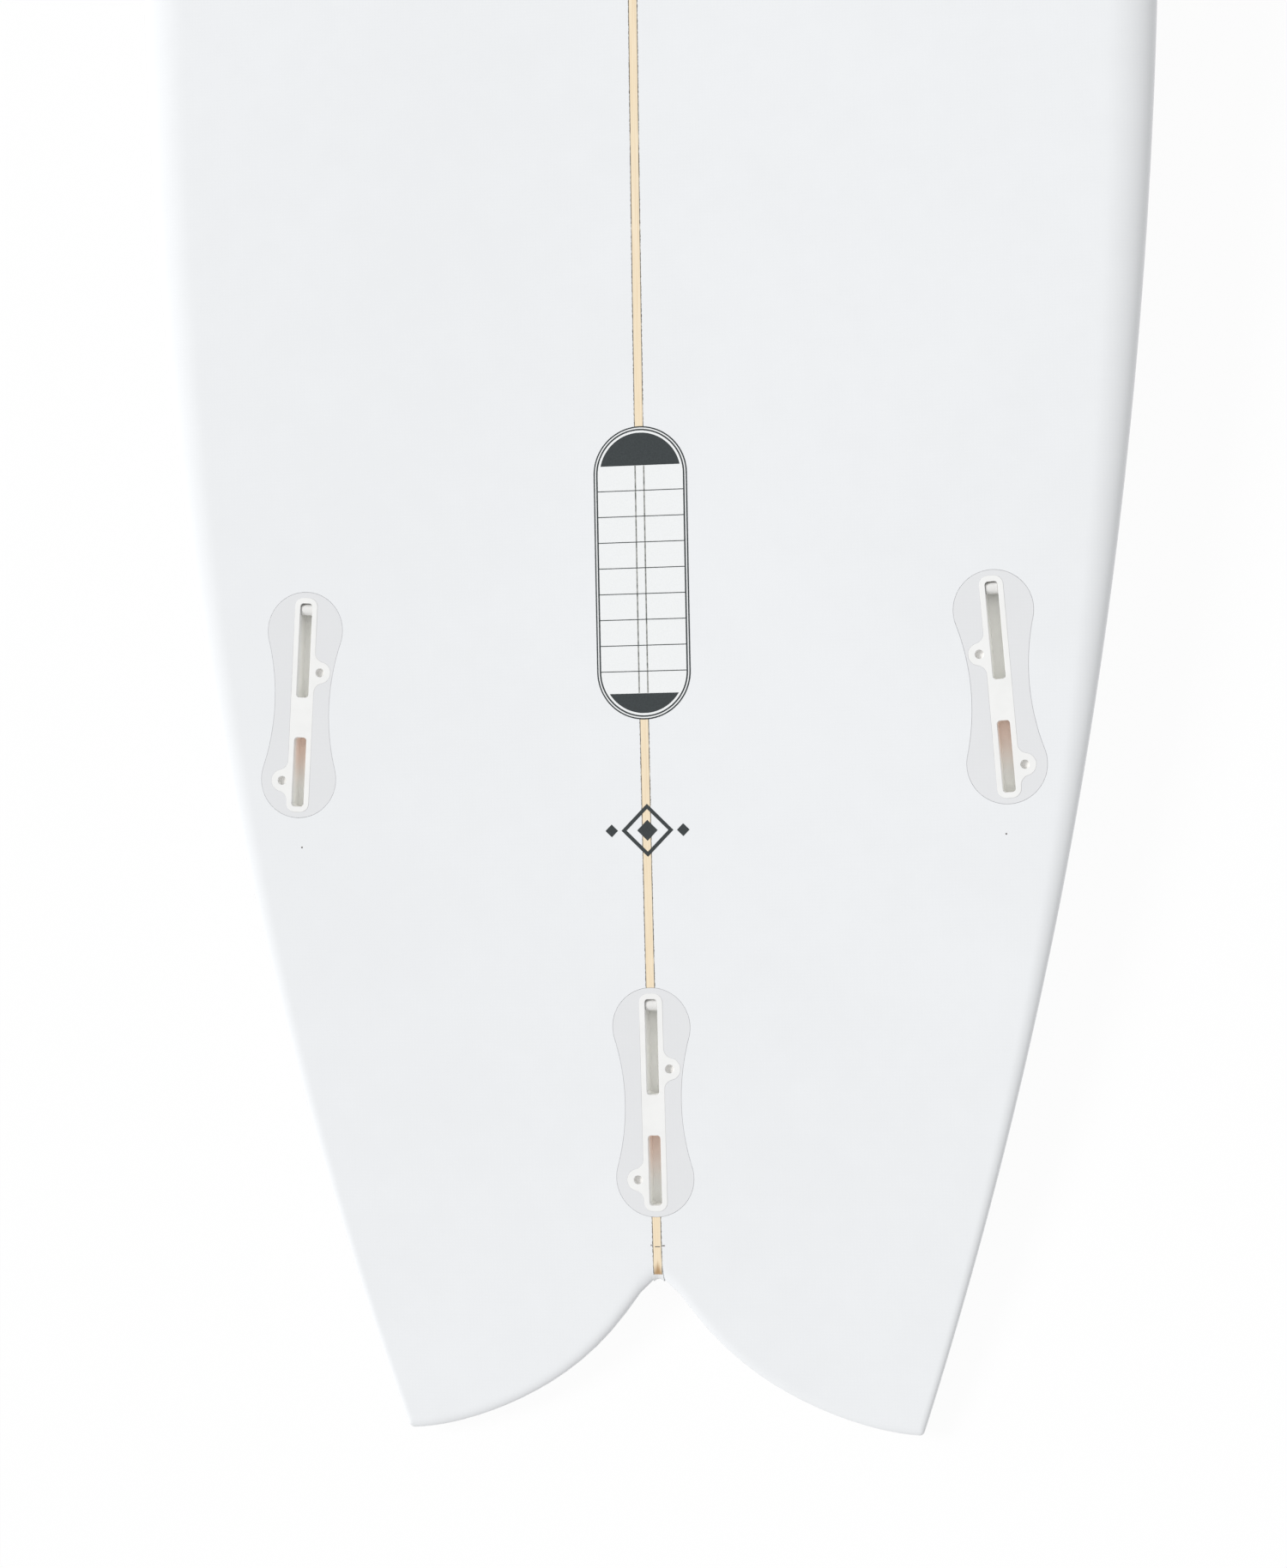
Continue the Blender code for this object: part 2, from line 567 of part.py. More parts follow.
# Leash cup in the deck, beside the centre plug
def deck_z(px, py):
    width = float(half_width(np.array(py)))
    crown = (1 - (abs(px) / width) ** DECK_CROWN) ** (1 / DECK_CROWN_ROOT)
    rail = float(rocker(np.array(py)) - edge_rise(np.array(py)))
    rise = float(deck_rise(np.array(py))) - FIT_GAP
    return rail - FIT_GAP - rise * crown - FLOOR - SLOPE * py


CUP_X = SURROUND_WIDTH / 2 + CUP_FROM_SURROUND + CUP_DIAMETER / 2
CUP_Y = CENTRE_Y
STEP = 0.012
across = Vector((2 * STEP, 0, deck_z(CUP_X + STEP, CUP_Y) - deck_z(CUP_X - STEP, CUP_Y))).normalized()
along = Vector((0, 2 * STEP, deck_z(CUP_X, CUP_Y + STEP) - deck_z(CUP_X, CUP_Y - STEP)))
along = (along - along.dot(across) * across).normalized()
# Local Z points out of the deck, which is down
cup_turn = Matrix((across, -along, across.cross(-along))).transposed().to_4x4()
cup_spot = Matrix.Translation((CUP_X, CUP_Y - BOARD_LENGTH / 2, deck_z(CUP_X, CUP_Y)))
cup_frame = empty("leash_cup_frame", cup_spot @ cup_turn)
floor_arc = [
    (CUP_BORE / 2 - CUP_FLOOR_ROUND + CUP_FLOOR_ROUND * math.cos(math.radians(t)),
     -CUP_BORE_DEPTH + CUP_FLOOR_ROUND - CUP_FLOOR_ROUND * math.sin(math.radians(t)))
    for t in (0, 22.5, 45, 67.5, 90)
]
cup_profile = [(0.0, -CUP_DEPTH), (CUP_DIAMETER / 2, -CUP_DEPTH), (CUP_DIAMETER / 2, 0.0)]
cup_profile += [(CUP_BORE / 2, 0.0)] + floor_arc + [(0.0, -CUP_BORE_DEPTH)]
leash_cup = revolve("leash_cup", cup_profile, 28, "Z", CUP_PLASTIC, cup_frame)
seat = CUP_BORE / 2 + LEASH_PIN_SEAT
rod = [(0.0, -seat), (LEASH_PIN_DIAMETER / 2, -seat), (LEASH_PIN_DIAMETER / 2, seat), (0.0, seat)]
wide_rod = [(0.0, -seat - FIT_GAP), (LEASH_PIN_DIAMETER / 2 + FIT_GAP, -seat - FIT_GAP)]
wide_rod += [(r, -a) for r, a in wide_rod[::-1]]
pin_at = (0.0, 0.0, -LEASH_PIN_DEPTH)
revolve("leash_pin", rod, 16, "X", PIN_METAL, cup_frame, pin_at)
cut(leash_cup, revolve("leash_pin_tool", wide_rod, 16, "X", None, cup_frame, pin_at))
hole = [(0.0, -0.006), (CUP_DIAMETER / 2 + FIT_GAP, -0.006), (CUP_DIAMETER / 2 + FIT_GAP, 0.01), (0.0, 0.01)]
cut(deck_laminate, revolve("leash_skin_tool", hole, 28, "Z", None, cup_frame))
well = [(0.0, -CUP_DEPTH - FIT_GAP), (CUP_DIAMETER / 2 + FIT_GAP, -CUP_DEPTH - FIT_GAP)]
well += [(CUP_DIAMETER / 2 + FIT_GAP, 0.01), (0.0, 0.01)]
cut(foam_right, revolve("leash_foam_tool", well, 28, "Z", None, cup_frame))
bpy.context.view_layer.update()
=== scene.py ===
"""Fish surfboard lying deck down on a white floor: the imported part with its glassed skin, stringer, fin
plugs and marks, seen by the photograph's camera."""

import json
import math

import bmesh
import bpy
import numpy as np
from mathutils import Matrix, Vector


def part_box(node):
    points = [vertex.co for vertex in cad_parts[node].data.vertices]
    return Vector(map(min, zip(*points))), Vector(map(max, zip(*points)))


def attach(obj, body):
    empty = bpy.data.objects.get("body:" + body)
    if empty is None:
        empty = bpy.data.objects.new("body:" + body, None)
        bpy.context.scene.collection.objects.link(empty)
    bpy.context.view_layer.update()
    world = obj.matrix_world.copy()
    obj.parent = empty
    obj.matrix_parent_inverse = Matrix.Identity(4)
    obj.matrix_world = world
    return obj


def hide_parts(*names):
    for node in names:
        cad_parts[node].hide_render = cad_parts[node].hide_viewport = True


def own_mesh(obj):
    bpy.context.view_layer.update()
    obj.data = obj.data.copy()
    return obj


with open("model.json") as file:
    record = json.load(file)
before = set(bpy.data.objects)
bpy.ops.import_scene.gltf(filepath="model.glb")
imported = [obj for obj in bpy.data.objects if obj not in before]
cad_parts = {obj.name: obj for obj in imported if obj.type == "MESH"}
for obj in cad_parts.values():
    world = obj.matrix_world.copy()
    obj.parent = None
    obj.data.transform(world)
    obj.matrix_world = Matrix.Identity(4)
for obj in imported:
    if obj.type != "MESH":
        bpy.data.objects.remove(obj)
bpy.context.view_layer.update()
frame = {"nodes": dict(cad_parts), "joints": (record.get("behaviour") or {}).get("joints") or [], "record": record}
solids = frame["nodes"]
BOARD = "board"

# Outline and section of the board in metres, y counted from the tail tips
LENGTH = 1.9304
WIDE = 0.2635
WIDE_AT = 0.890
TIPS = 0.1318
NOTCH = 0.0763
NOTCH_ROUND = 0.0045
TIP_ROUND = 0.0027
THICK = 0.06985
THICK_AT = 0.960
TAIL_DECK = 0.016
EDGE_MID = 0.012
EDGE_TAIL = 0.0024
ROLL_MID = 0.026
ROLL_TAIL = 0.004
END_ROLL = 0.014
FLOOR_Z = -0.06539337
FLOOR_SLOPE = -0.02807943

# Curves of the outline, the deck, the rocker and the notch: their powers, and how far the ends fall
OUTLINE_TAIL = 2.3
OUTLINE_NOSE = 2.6, 0.62
DECK_TAIL = 2
DECK_NOSE = 2.3, 0.6
DECK_CROWN = 2.9, 2.25
TAIL_FALL, TAIL_BEND = 0.05, 2.1
NOSE_FALL, NOSE_BEND = 0.112, 2.4
END_POWER = 2.2
NOTCH_SHARES = 0.742, 0.258
NOTCH_POWERS = 1.741, 5.924

# Rows of points along the board, and shares of its half width
NOSE_ROWS, MIDDLE_ROWS, TAIL_ROWS = 70, 40, 49
TAIL_FROM = 0.262
TAIL_CLOSING = 2.2
FLAT_SHARE, FLAT_STEPS, RAIL_STEPS = 0.78, 13, 40

# Points nearer than this are one, and edges shorter than this go
DOUBLED, NO_LENGTH = 2e-6, 1e-7

# Layers, the strips along the middle, and where their ends are wrapped white at the notch
SKIN = 0.0011
WOOD_HALF = 0.00195
GLUE_OUT = 0.0026
WRAPPED = -0.8868, -0.8863

# Fin plugs, in each plug's own frame: x across, y to the nose, z out of the bottom
FRONT_END, FRONT_BACK = 0.05175, 0.00385
REAR_FRONT, REAR_END = -0.01655, -0.05175
SLOT_HALF, SLOT_CORNER, SLOT_DEEP = 0.00315, 0.0016, 0.011
PLUG_HALF, PLUG_END, PLUG_CORNER, PLUG_DEEP = 0.00595, 0.05465, 0.0046, 0.0127
EAR_OUT, EAR_R, EAR_FILLET, EAR_UP = 0.0087, 0.0056, 0.005, 0.0129
HOLE_R, HOLE_DEEP = 0.0022, 0.003
LOBE_R, LOBE_AT, WAIST = 0.0197, 0.0378, 0.0143
AXLE_Y, AXLE_Z = 0.04875, -0.0039
BARREL_R, BARREL_HALF, BARREL_BORE, BARREL_EDGE = 0.003, 0.00303, 0.00122, 0.0005
PRESS = 0.0009
POCKET_FRONT, POCKET_LOW, POCKET_TOP = 0.0537, -0.0075, -0.0013
GROOVE_HALF, GROOVE_R = 0.0052, 0.00135
PAD_HALF, PAD_BACK, PAD_FRONT, PAD_TALL, PAD_KEEP = 0.0027, 0.05205, 0.0534, 0.0042, 0.53
FINE_CORNER = 0.0002
EAR_SIDE = {"left": 1, "right": -1, "centre": 1}

# Fine gaps round the surrounds and the plugs, the leash cup's opening, and how far a cutting tool stands out
SKIN_GAP, FACE_GAP, PLUG_GAP = 0.00008, 0.00004, 0.00002
CUP_OPENING = 0.0142
STAND_OUT = 0.01

# Thin layers on the bottom: lift of the first, and thicknesses
LIFT = 2e-5
PAPER_THICK, LOZENGE_THICK, PRINT_THICK, LINE_THICK = 6e-5, 5e-5, 3e-5, 2e-5

# Stage: share of the floor that shows plain white, the light, and the solved camera in the photo's pixels
FLOOR_REACH, FLOOR_WHITE = 60, 0.95
FILL_LEVEL = 0.525
KEY_LEVEL, KEY_WIDTH, KEY_FROM = 2.1, 24, (-3.3, 0.6, 3.5)
CAMERA_TURNS = -11.394, -5.391, 0.120
CAMERA_OFFSET = -0.0106, -0.6346, 1.8
FOCAL_PIXELS, PHOTO_HEIGHT, SENSOR = 3936.8, 1828.0, 36.0


def smooth(q):
    """The cubic step 3q^2 - 2q^3 between 0 and 1."""
    q = np.clip(q, 0, 1)
    return q * q * (3 - 2 * q)


def nose_share(y, start, curve, root, cut=0.0):
    """How much of a size is left on the way to the nose: (1 - s^curve)^root, s running from start to it."""
    s = np.clip((y - start) / (LENGTH - cut - start), 0, 1)
    return (1 - s**curve) ** root


def half_width(y, inset):
    """Outline: W - (W - tip) t^2.3 behind the wide point, W (1 - s^2.6)^0.62 ahead of it."""
    back = np.clip((WIDE_AT - y) / WIDE_AT, 0, None)
    tail = WIDE - inset - (WIDE - TIPS) * back**OUTLINE_TAIL
    return np.where(y < WIDE_AT, tail, (WIDE - inset) * nose_share(y, WIDE_AT, *OUTLINE_NOSE, inset))


def edge_rise(y, inset=0.0):
    """Height of the bottom over the line of the rails' widest points."""
    tail = EDGE_TAIL + (EDGE_MID - EDGE_TAIL) * smooth(y / WIDE_AT)
    nose = EDGE_MID * nose_share(y, WIDE_AT, *OUTLINE_NOSE)
    return np.maximum(np.where(y < WIDE_AT, tail, nose) - inset, 0)


def edge_roll(y):
    """Width of the rounded edge between the flat of the bottom and the rail."""
    tail = ROLL_TAIL + (ROLL_MID - ROLL_TAIL) * smooth(y / WIDE_AT)
    return np.where(y < WIDE_AT, tail, ROLL_MID * nose_share(y, WIDE_AT, *OUTLINE_NOSE)) + 1e-6


def deck_rise(y, inset=0.0):
    """Height of the rail line over the middle of the deck, which is the lower side here."""
    most = THICK - EDGE_MID
    back = np.clip((THICK_AT - y) / THICK_AT, 0, None)
    tail = most - (most - TAIL_DECK) * back**DECK_TAIL
    nose = most * nose_share(y, THICK_AT, *DECK_NOSE)
    return np.maximum(np.where(y < THICK_AT, tail, nose) - inset, 0)


def rocker(y):
    """Curve of the bottom along the middle: it falls as t^2.1 to the tail and as s^2.4 to the nose."""
    back = np.clip((WIDE_AT - y) / WIDE_AT, 0, None)
    ahead = np.clip((y - WIDE_AT) / (LENGTH - WIDE_AT), 0, None)
    return -TAIL_FALL * back**TAIL_BEND - NOSE_FALL * ahead**NOSE_BEND


def bottom_height(place):
    """Height of the flat of the bottom over the floor, at the board's y in the shared frame."""
    y = place + LENGTH / 2
    return rocker(y) - FLOOR_Z - FLOOR_SLOPE * y


def tail_end(u, inset):
    """Where the tail ends at the share u of its half width, and its lean there. The notch is
    N (0.742 r^1.741 + 0.258 r^5.924), with r = 1 - u rounded off at the point of the notch."""
    soft = NOTCH_ROUND / TIPS
    r = 1 - np.clip((np.sqrt(u * u + soft * soft) - soft) / (math.sqrt(1 + soft * soft) - soft), 0, 1)
    end = NOTCH * sum(k * r**n for k, n in zip(NOTCH_SHARES, NOTCH_POWERS))
    slope = NOTCH / TIPS * sum(k * n * r ** (n - 1) for k, n in zip(NOTCH_SHARES, NOTCH_POWERS))
    lean = np.sqrt(1 + slope * slope)
    return end + inset * lean, lean


def tip_rounding(u):
    """How far a tip's corner is rounded off: a quarter circle over the last of the half width."""
    d = np.clip(u * TIPS - (TIPS - TIP_ROUND), 0, TIP_ROUND)
    return TIP_ROUND - np.sqrt(TIP_ROUND**2 - d * d)


def board_rows(inset):
    """Rows from the nose to the tail: cosine steps to the wide point, even steps to TAIL_FROM, then shares
    of the way from there to the tail's end, which close up on it."""
    turn = math.pi / 2 * np.arange(NOSE_ROWS) / NOSE_ROWS
    nose = WIDE_AT + (LENGTH - inset - WIDE_AT) * np.cos(turn)
    middle = WIDE_AT + (TAIL_FROM - WIDE_AT) * np.arange(MIDDLE_ROWS) / MIDDLE_ROWS
    tail = 1 - (1 - np.arange(TAIL_ROWS) / (TAIL_ROWS - 1)) ** TAIL_CLOSING
    y0 = np.concatenate([nose, middle, np.full(TAIL_ROWS, TAIL_FROM)])
    share = np.concatenate([np.zeros(NOSE_ROWS + MIDDLE_ROWS), tail])
    return y0[:, None], share[:, None]


def board_layer(v, side, inset, reach=None):
    """Points of the bottom and of the deck, set in by inset, on rows by shares v. side is where the columns
    start beside the middle; they run to the rail, or only as far out as reach where that is given.
    bottom = rail + rise * sqrt(1 - (1 - d)^2), d the distance to the edge over its roll;
    deck = rail - rise * (1 - a^2.9)^(1/2.25), a the share of the half width, rounded off at the tail."""
    y0, share = board_rows(inset)
    v = np.asarray(v)[None, :]
    u = v if reach is None else (side + v * (reach - side)) / TIPS
    end, lean = tail_end(u, inset)
    end = end + tip_rounding(u)
    tip = tail_end(np.ones(1), inset)[0][0]
    y = (1 - share) * y0 + share * end
    width = half_width((1 - share) * y0 + share * tip, inset)
    start = np.minimum(side, width)
    stop = width if reach is None else np.minimum(reach, width)
    x = start + v * (stop - start)
    across = np.clip(x / np.maximum(width, 1e-9), 0, 1)
    from_end = (y - end) / lean
    near = np.clip(np.minimum((1 - across) * width, from_end) / edge_roll(y), 0, 1)
    roll = np.sqrt(np.clip(1 - (1 - near) ** 2, 0, 1))
    crown = (1 - across ** DECK_CROWN[0]) ** (1 / DECK_CROWN[1])
    inward = np.clip(from_end / END_ROLL, 0, 1)
    round_end = np.clip(1 - (1 - inward) ** END_POWER, 0, 1) ** (1 / END_POWER)
    rail = rocker(y) - edge_rise(y) - FLOOR_Z - FLOOR_SLOPE * y
    bottom = rail + edge_rise(y, inset) * roll
    deck = rail - deck_rise(y, inset) * crown * round_end
    place = y - LENGTH / 2
    return [np.stack(np.broadcast_arrays(x, place, height), -1) for height in (bottom, deck)]


def half_shares():
    """Shares of the half width: wide even steps over the flat, then sine steps that close up at the rail."""
    flat = np.linspace(0, FLAT_SHARE, FLAT_STEPS + 1)[:-1]
    turn = math.pi / 2 * np.arange(RAIL_STEPS + 1) / RAIL_STEPS
    return np.concatenate([flat, FLAT_SHARE + (1 - FLAT_SHARE) * np.sin(turn)])


def new_piece(name, points, faces, look):
    """A mesh object with its place in its mesh: doubled points merged, faces turned outwards."""
    mesh = bpy.data.meshes.new(name)
    mesh.from_pydata(points.tolist(), [], faces)
    bm = bmesh.new()
    bm.from_mesh(mesh)
    bmesh.ops.remove_doubles(bm, verts=bm.verts, dist=DOUBLED)
    bmesh.ops.dissolve_degenerate(bm, edges=bm.edges, dist=NO_LENGTH)
    if bm.calc_volume(signed=True) < 0:
        bmesh.ops.reverse_faces(bm, faces=bm.faces)
    bm.to_mesh(mesh)
    bm.free()
    mesh.materials.append(look)
    obj = bpy.data.objects.new(name, mesh)
    bpy.context.scene.collection.objects.link(obj)
    return obj


def wall_faces(rows, cols, start=0, ring=False):
    """Quads of a closed wall between two grids of points, one after the other: both grids and their four
    edges, or only the first and last row where the rows are rings."""
    n = rows * cols
    index = np.arange(n).reshape(rows, cols)
    if ring:
        index = np.concatenate([index, index[:, :1]], 1)
    quads = np.stack([index[:-1, :-1], index[:-1, 1:], index[1:, 1:], index[1:, :-1]], -1).reshape(-1, 4)
    faces = [quads, quads[:, ::-1] + n]
    edges = ((index[0], -1), (index[-1], 1), (index[:, 0], 1), (index[:, -1], -1))
    for line, turn in edges[: 2 if ring else 4]:
        ends = np.stack([line[:-1], line[1:]], -1)[:, ::turn]
        faces.append(np.concatenate([ends, ends[:, ::-1] + n], -1))
    return np.concatenate(faces) + start


def wall(name, outer, inner, look):
    """A closed wall between two grids. Where their edges fall together the doubled points are merged."""
    points = np.concatenate([outer.reshape(-1, 3), inner.reshape(-1, 3)])
    return new_piece(name, points, wall_faces(*outer.shape[:2]).tolist(), look)


def shade(obj, angle=35, flat=None):
    """Smooth shading with sharp edges kept; faces square to the direction flat stay flat."""
    mesh = obj.data
    mesh.shade_smooth()
    mesh.set_sharp_from_angle(angle=math.radians(angle))
    if flat is not None:
        normals = np.empty(len(mesh.polygons) * 3)
        mesh.polygons.foreach_get("normal", normals)
        mesh.polygons.foreach_set("use_smooth", np.abs(normals.reshape(-1, 3) @ flat) < 0.999)


def arc(cx, cy, radius, start, stop, steps):
    """Points of a circle's arc between two angles in degrees."""
    t = np.radians(np.linspace(start, stop, steps + 1))
    return np.stack([cx + radius * np.cos(t), cy + radius * np.sin(t)], -1)


def disc(cx, cy, radius, steps=32):
    """Points of a whole circle."""
    return arc(cx, cy, radius, 0, 360 - 360 / steps, steps - 1)


def ear_outline(at, grow):
    """One screw ear on the right side of a plug, back to front: fillet, round cap, fillet, each an arc."""
    edge, radius, fillet = PLUG_HALF + grow, EAR_R + grow, EAR_FILLET - grow
    rise = edge + fillet - EAR_OUT
    reach = math.sqrt((radius + fillet) ** 2 - rise * rise)
    turn = math.degrees(math.atan2(reach, rise))
    back = arc(edge + fillet, at - reach, fillet, 180, 180 - turn, 10)
    cap = arc(EAR_OUT, at, radius, -turn, turn, 30)
    front = back[::-1] * [1, -1] + [0, 2 * at]
    return np.concatenate([back[:-1], cap, front[1:]])


def plug_outline(ear_side, grow=0.0):
    """Face of a plug: a bar with rounded ends and an ear on either side, the front ear on ear_side."""
    half, end, c = PLUG_HALF + grow, PLUG_END + grow, PLUG_CORNER + grow
    ends = arc(half - c, c - end, c, -90, 0, 10), arc(half - c, end - c, c, 0, 90, 10)
    right = np.concatenate([ends[0], ear_outline(FRONT_BACK + EAR_UP, grow), ends[1]])
    left = np.concatenate([ends[0], ear_outline(REAR_END + EAR_UP, grow), ends[1]])
    return np.concatenate([right * [ear_side, 1], left[::-1] * [-ear_side, 1]])


def peanut_outline(grow=0.0):
    """Surround of a plug: two round lobes joined by hollow arcs that touch both of them."""
    lobe, waist = LOBE_R + grow, WAIST + grow
    hollow = (LOBE_AT**2 + waist**2 - lobe**2) / (2 * (lobe - waist))
    turn = math.degrees(math.atan2(LOBE_AT, waist + hollow))
    right = arc(waist + hollow, 0, hollow, 180 + turn, 180 - turn, 24)
    top = arc(0, LOBE_AT, lobe, -turn, 180 + turn, 64)
    half = np.concatenate([right[:-1], top[:-1]])
    return np.concatenate([half, -half])


def bar_outline(half, back, front, c):
    """A bar with rounded corners."""
    return np.concatenate([
        arc(half - c, front - c, c, 0, 90, 6), arc(c - half, front - c, c, 90, 180, 6),
        arc(c - half, back + c, c, 180, 270, 6), arc(half - c, back + c, c, 270, 360, 6),
    ])


def prism(name, outline, low, high, place, look):
    """A closed solid: an outline carried straight from low to high, then set in its plug's frame."""
    n = len(outline)
    points = np.concatenate([np.column_stack([outline, np.full(n, z)]) for z in (low, high)])
    k = np.arange(n)
    sides = np.stack([k, (k + 1) % n, n + (k + 1) % n, n + k], -1).tolist()
    points = points @ place[:3, :3].T + place[:3, 3]
    return new_piece(name, points, sides + [k[::-1].tolist(), (n + k).tolist()], look)


def keep_mesh(obj):
    """Makes what the modifiers give the piece's own mesh."""
    graph = bpy.context.evaluated_depsgraph_get()
    made = bpy.data.meshes.new_from_object(obj.evaluated_get(graph))
    obj.modifiers.clear()
    obj.data = made


def cut_by(obj, tools, operation="DIFFERENCE"):
    """Cuts the tools out of a closed piece, or keeps what it shares with them."""
    for tool in tools:
        mod = obj.modifiers.new("cut", "BOOLEAN")
        mod.operation = operation
        mod.solver = "EXACT"
        mod.object = tool
    keep_mesh(obj)


def drop(*tools):
    """Removes cutting tools that are done with."""
    for tool in tools:
        bpy.data.objects.remove(tool)


def bevel(obj, width):
    """Rounds a piece's sharp edges in two steps."""
    mod = obj.modifiers.new("edges", "BEVEL")
    mod.width = width
    mod.segments = 2
    mod.limit_method = "ANGLE"
    mod.angle_limit = math.radians(40)
    keep_mesh(obj)


def link(tree, a, b):
    """Links an output to an input."""
    tree.links.new(a, b)


def node(tree, kind, **values):
    """A new shader node with its settings."""
    n = tree.nodes.new(kind)
    for key, value in values.items():
        setattr(n, key, value)
    return n


def fill(tree, target, value):
    """Links an output to a socket, or sets a number or colour on it."""
    if isinstance(value, bpy.types.NodeSocket):
        link(tree, value, target)
    else:
        target.default_value = (*value, 1.0) if isinstance(value, tuple) else value


def sums(tree, operation, a, b, clamp=False):
    """One step of arithmetic on two outputs or numbers."""
    n = node(tree, "ShaderNodeMath", operation=operation, use_clamp=clamp)
    fill(tree, n.inputs[0], a)
    fill(tree, n.inputs[1], b)
    return n.outputs[0]


def span(tree, value, low, high, to_low=0.0, to_high=1.0):
    """A soft step: value from low to high becomes to_low to to_high."""
    n = node(tree, "ShaderNodeMapRange", interpolation_type="SMOOTHSTEP")
    fill(tree, n.inputs["Value"], value)
    for key, v in (("From Min", low), ("From Max", high), ("To Min", to_low), ("To Max", to_high)):
        n.inputs[key].default_value = v
    return n.outputs["Result"]


def grain(tree, vector, scale, detail=3.0, rough=0.5):
    """Noise between 0 and 1."""
    n = node(tree, "ShaderNodeTexNoise")
    link(tree, vector, n.inputs["Vector"])
    n.inputs["Scale"].default_value = scale
    n.inputs["Detail"].default_value = detail
    n.inputs["Roughness"].default_value = rough
    return n.outputs["Fac"]


def blend(tree, share, a, b):
    """A mix of two colours."""
    n = node(tree, "ShaderNodeMix", data_type="RGBA")
    for key, value in ((0, share), (6, a), (7, b)):
        fill(tree, n.inputs[key], value)
    return n.outputs[2]


def stretched(tree, vector, scale):
    """Coordinates times a scale of their own on each axis."""
    n = node(tree, "ShaderNodeMapping")
    link(tree, vector, n.inputs["Vector"])
    n.inputs["Scale"].default_value = scale
    return n.outputs["Vector"]


def glassed_group():
    """Cloth under sanded resin: a faint crossed weave, soft cloudy tone and long sanding scratches."""
    g = bpy.data.node_groups.new("glassed_surface", "ShaderNodeTree")
    g.interface.new_socket(name="Vector", in_out="INPUT", socket_type="NodeSocketVector")
    for name in ("Tone", "Height", "Gloss"):
        g.interface.new_socket(name=name, in_out="OUTPUT", socket_type="NodeSocketFloat")
    place, out = node(g, "NodeGroupInput").outputs["Vector"], node(g, "NodeGroupOutput")
    waves = []
    for direction in ("X", "Y"):
        w = node(g, "ShaderNodeTexWave", wave_type="BANDS", bands_direction=direction)
        link(g, place, w.inputs["Vector"])
        w.inputs["Scale"].default_value = 190.0
        w.inputs["Distortion"].default_value = 0.6
        w.inputs["Detail"].default_value = 1.0
        waves.append(w.outputs["Fac"])
    weave = sums(g, "MULTIPLY", *waves)
    cloud = grain(g, place, 3.2, 4.0, 0.55)
    fine = grain(g, place, 60.0, 4.0, 0.6)
    scratch = grain(g, stretched(g, place, (240.0, 9.0, 60.0)), 1.0, 2.0, 0.5)
    tone = sums(g, "ADD", sums(g, "MULTIPLY", cloud, 0.66), sums(g, "MULTIPLY", fine, 0.26))
    tone = sums(g, "ADD", tone, sums(g, "MULTIPLY", weave, 0.08))
    height = sums(g, "ADD", sums(g, "MULTIPLY", weave, 0.35), sums(g, "MULTIPLY", scratch, 0.45))
    gloss = sums(g, "ADD", sums(g, "MULTIPLY", scratch, 0.5), sums(g, "MULTIPLY", cloud, 0.5))
    for name, value in (("Tone", tone), ("Height", height), ("Gloss", gloss)):
        link(g, value, out.inputs[name])
    return g


GLASSED = glassed_group()


def new_look(name, roughness=0.4, coat=0.0, coat_rough=0.1, metallic=0.0):
    """A new material, its tree, its shader's inputs and the piece's own coordinates."""
    m = bpy.data.materials.new(name)
    m.use_nodes = True
    tree = m.node_tree
    shader = tree.nodes["Principled BSDF"]
    shader.inputs["Roughness"].default_value = roughness
    shader.inputs["Coat Weight"].default_value = coat
    shader.inputs["Coat Roughness"].default_value = coat_rough
    shader.inputs["Metallic"].default_value = metallic
    return m, tree, shader.inputs, node(tree, "ShaderNodeTexCoord").outputs["Object"]


def bump(tree, shader, height, strength, distance):
    """Fine relief on a surface."""
    b = node(tree, "ShaderNodeBump")
    b.inputs["Strength"].default_value = strength
    b.inputs["Distance"].default_value = distance
    link(tree, height, b.inputs["Height"])
    link(tree, b.outputs["Normal"], shader["Normal"])


def glassed(name, dark, light, gloss=(0.30, 0.42)):
    """White foam seen through cloth and resin, with a sanded sheen."""
    m, tree, shader, place = new_look(name, 0.35, 0.3, 0.18)
    g = node(tree, "ShaderNodeGroup", node_tree=GLASSED)
    link(tree, place, g.inputs["Vector"])
    link(tree, blend(tree, span(tree, g.outputs["Tone"], 0.32, 0.66), dark, light), shader["Base Color"])
    link(tree, span(tree, g.outputs["Gloss"], 0.3, 0.7, *gloss), shader["Roughness"])
    bump(tree, shader, g.outputs["Height"], 0.10, 0.00008)
    return m


def split(tree, place):
    """The distance from the middle and the place along the board."""
    n = node(tree, "ShaderNodeSeparateXYZ")
    link(tree, place, n.inputs[0])
    return sums(tree, "ABSOLUTE", n.outputs["X"], 0.0), n.outputs["Y"]


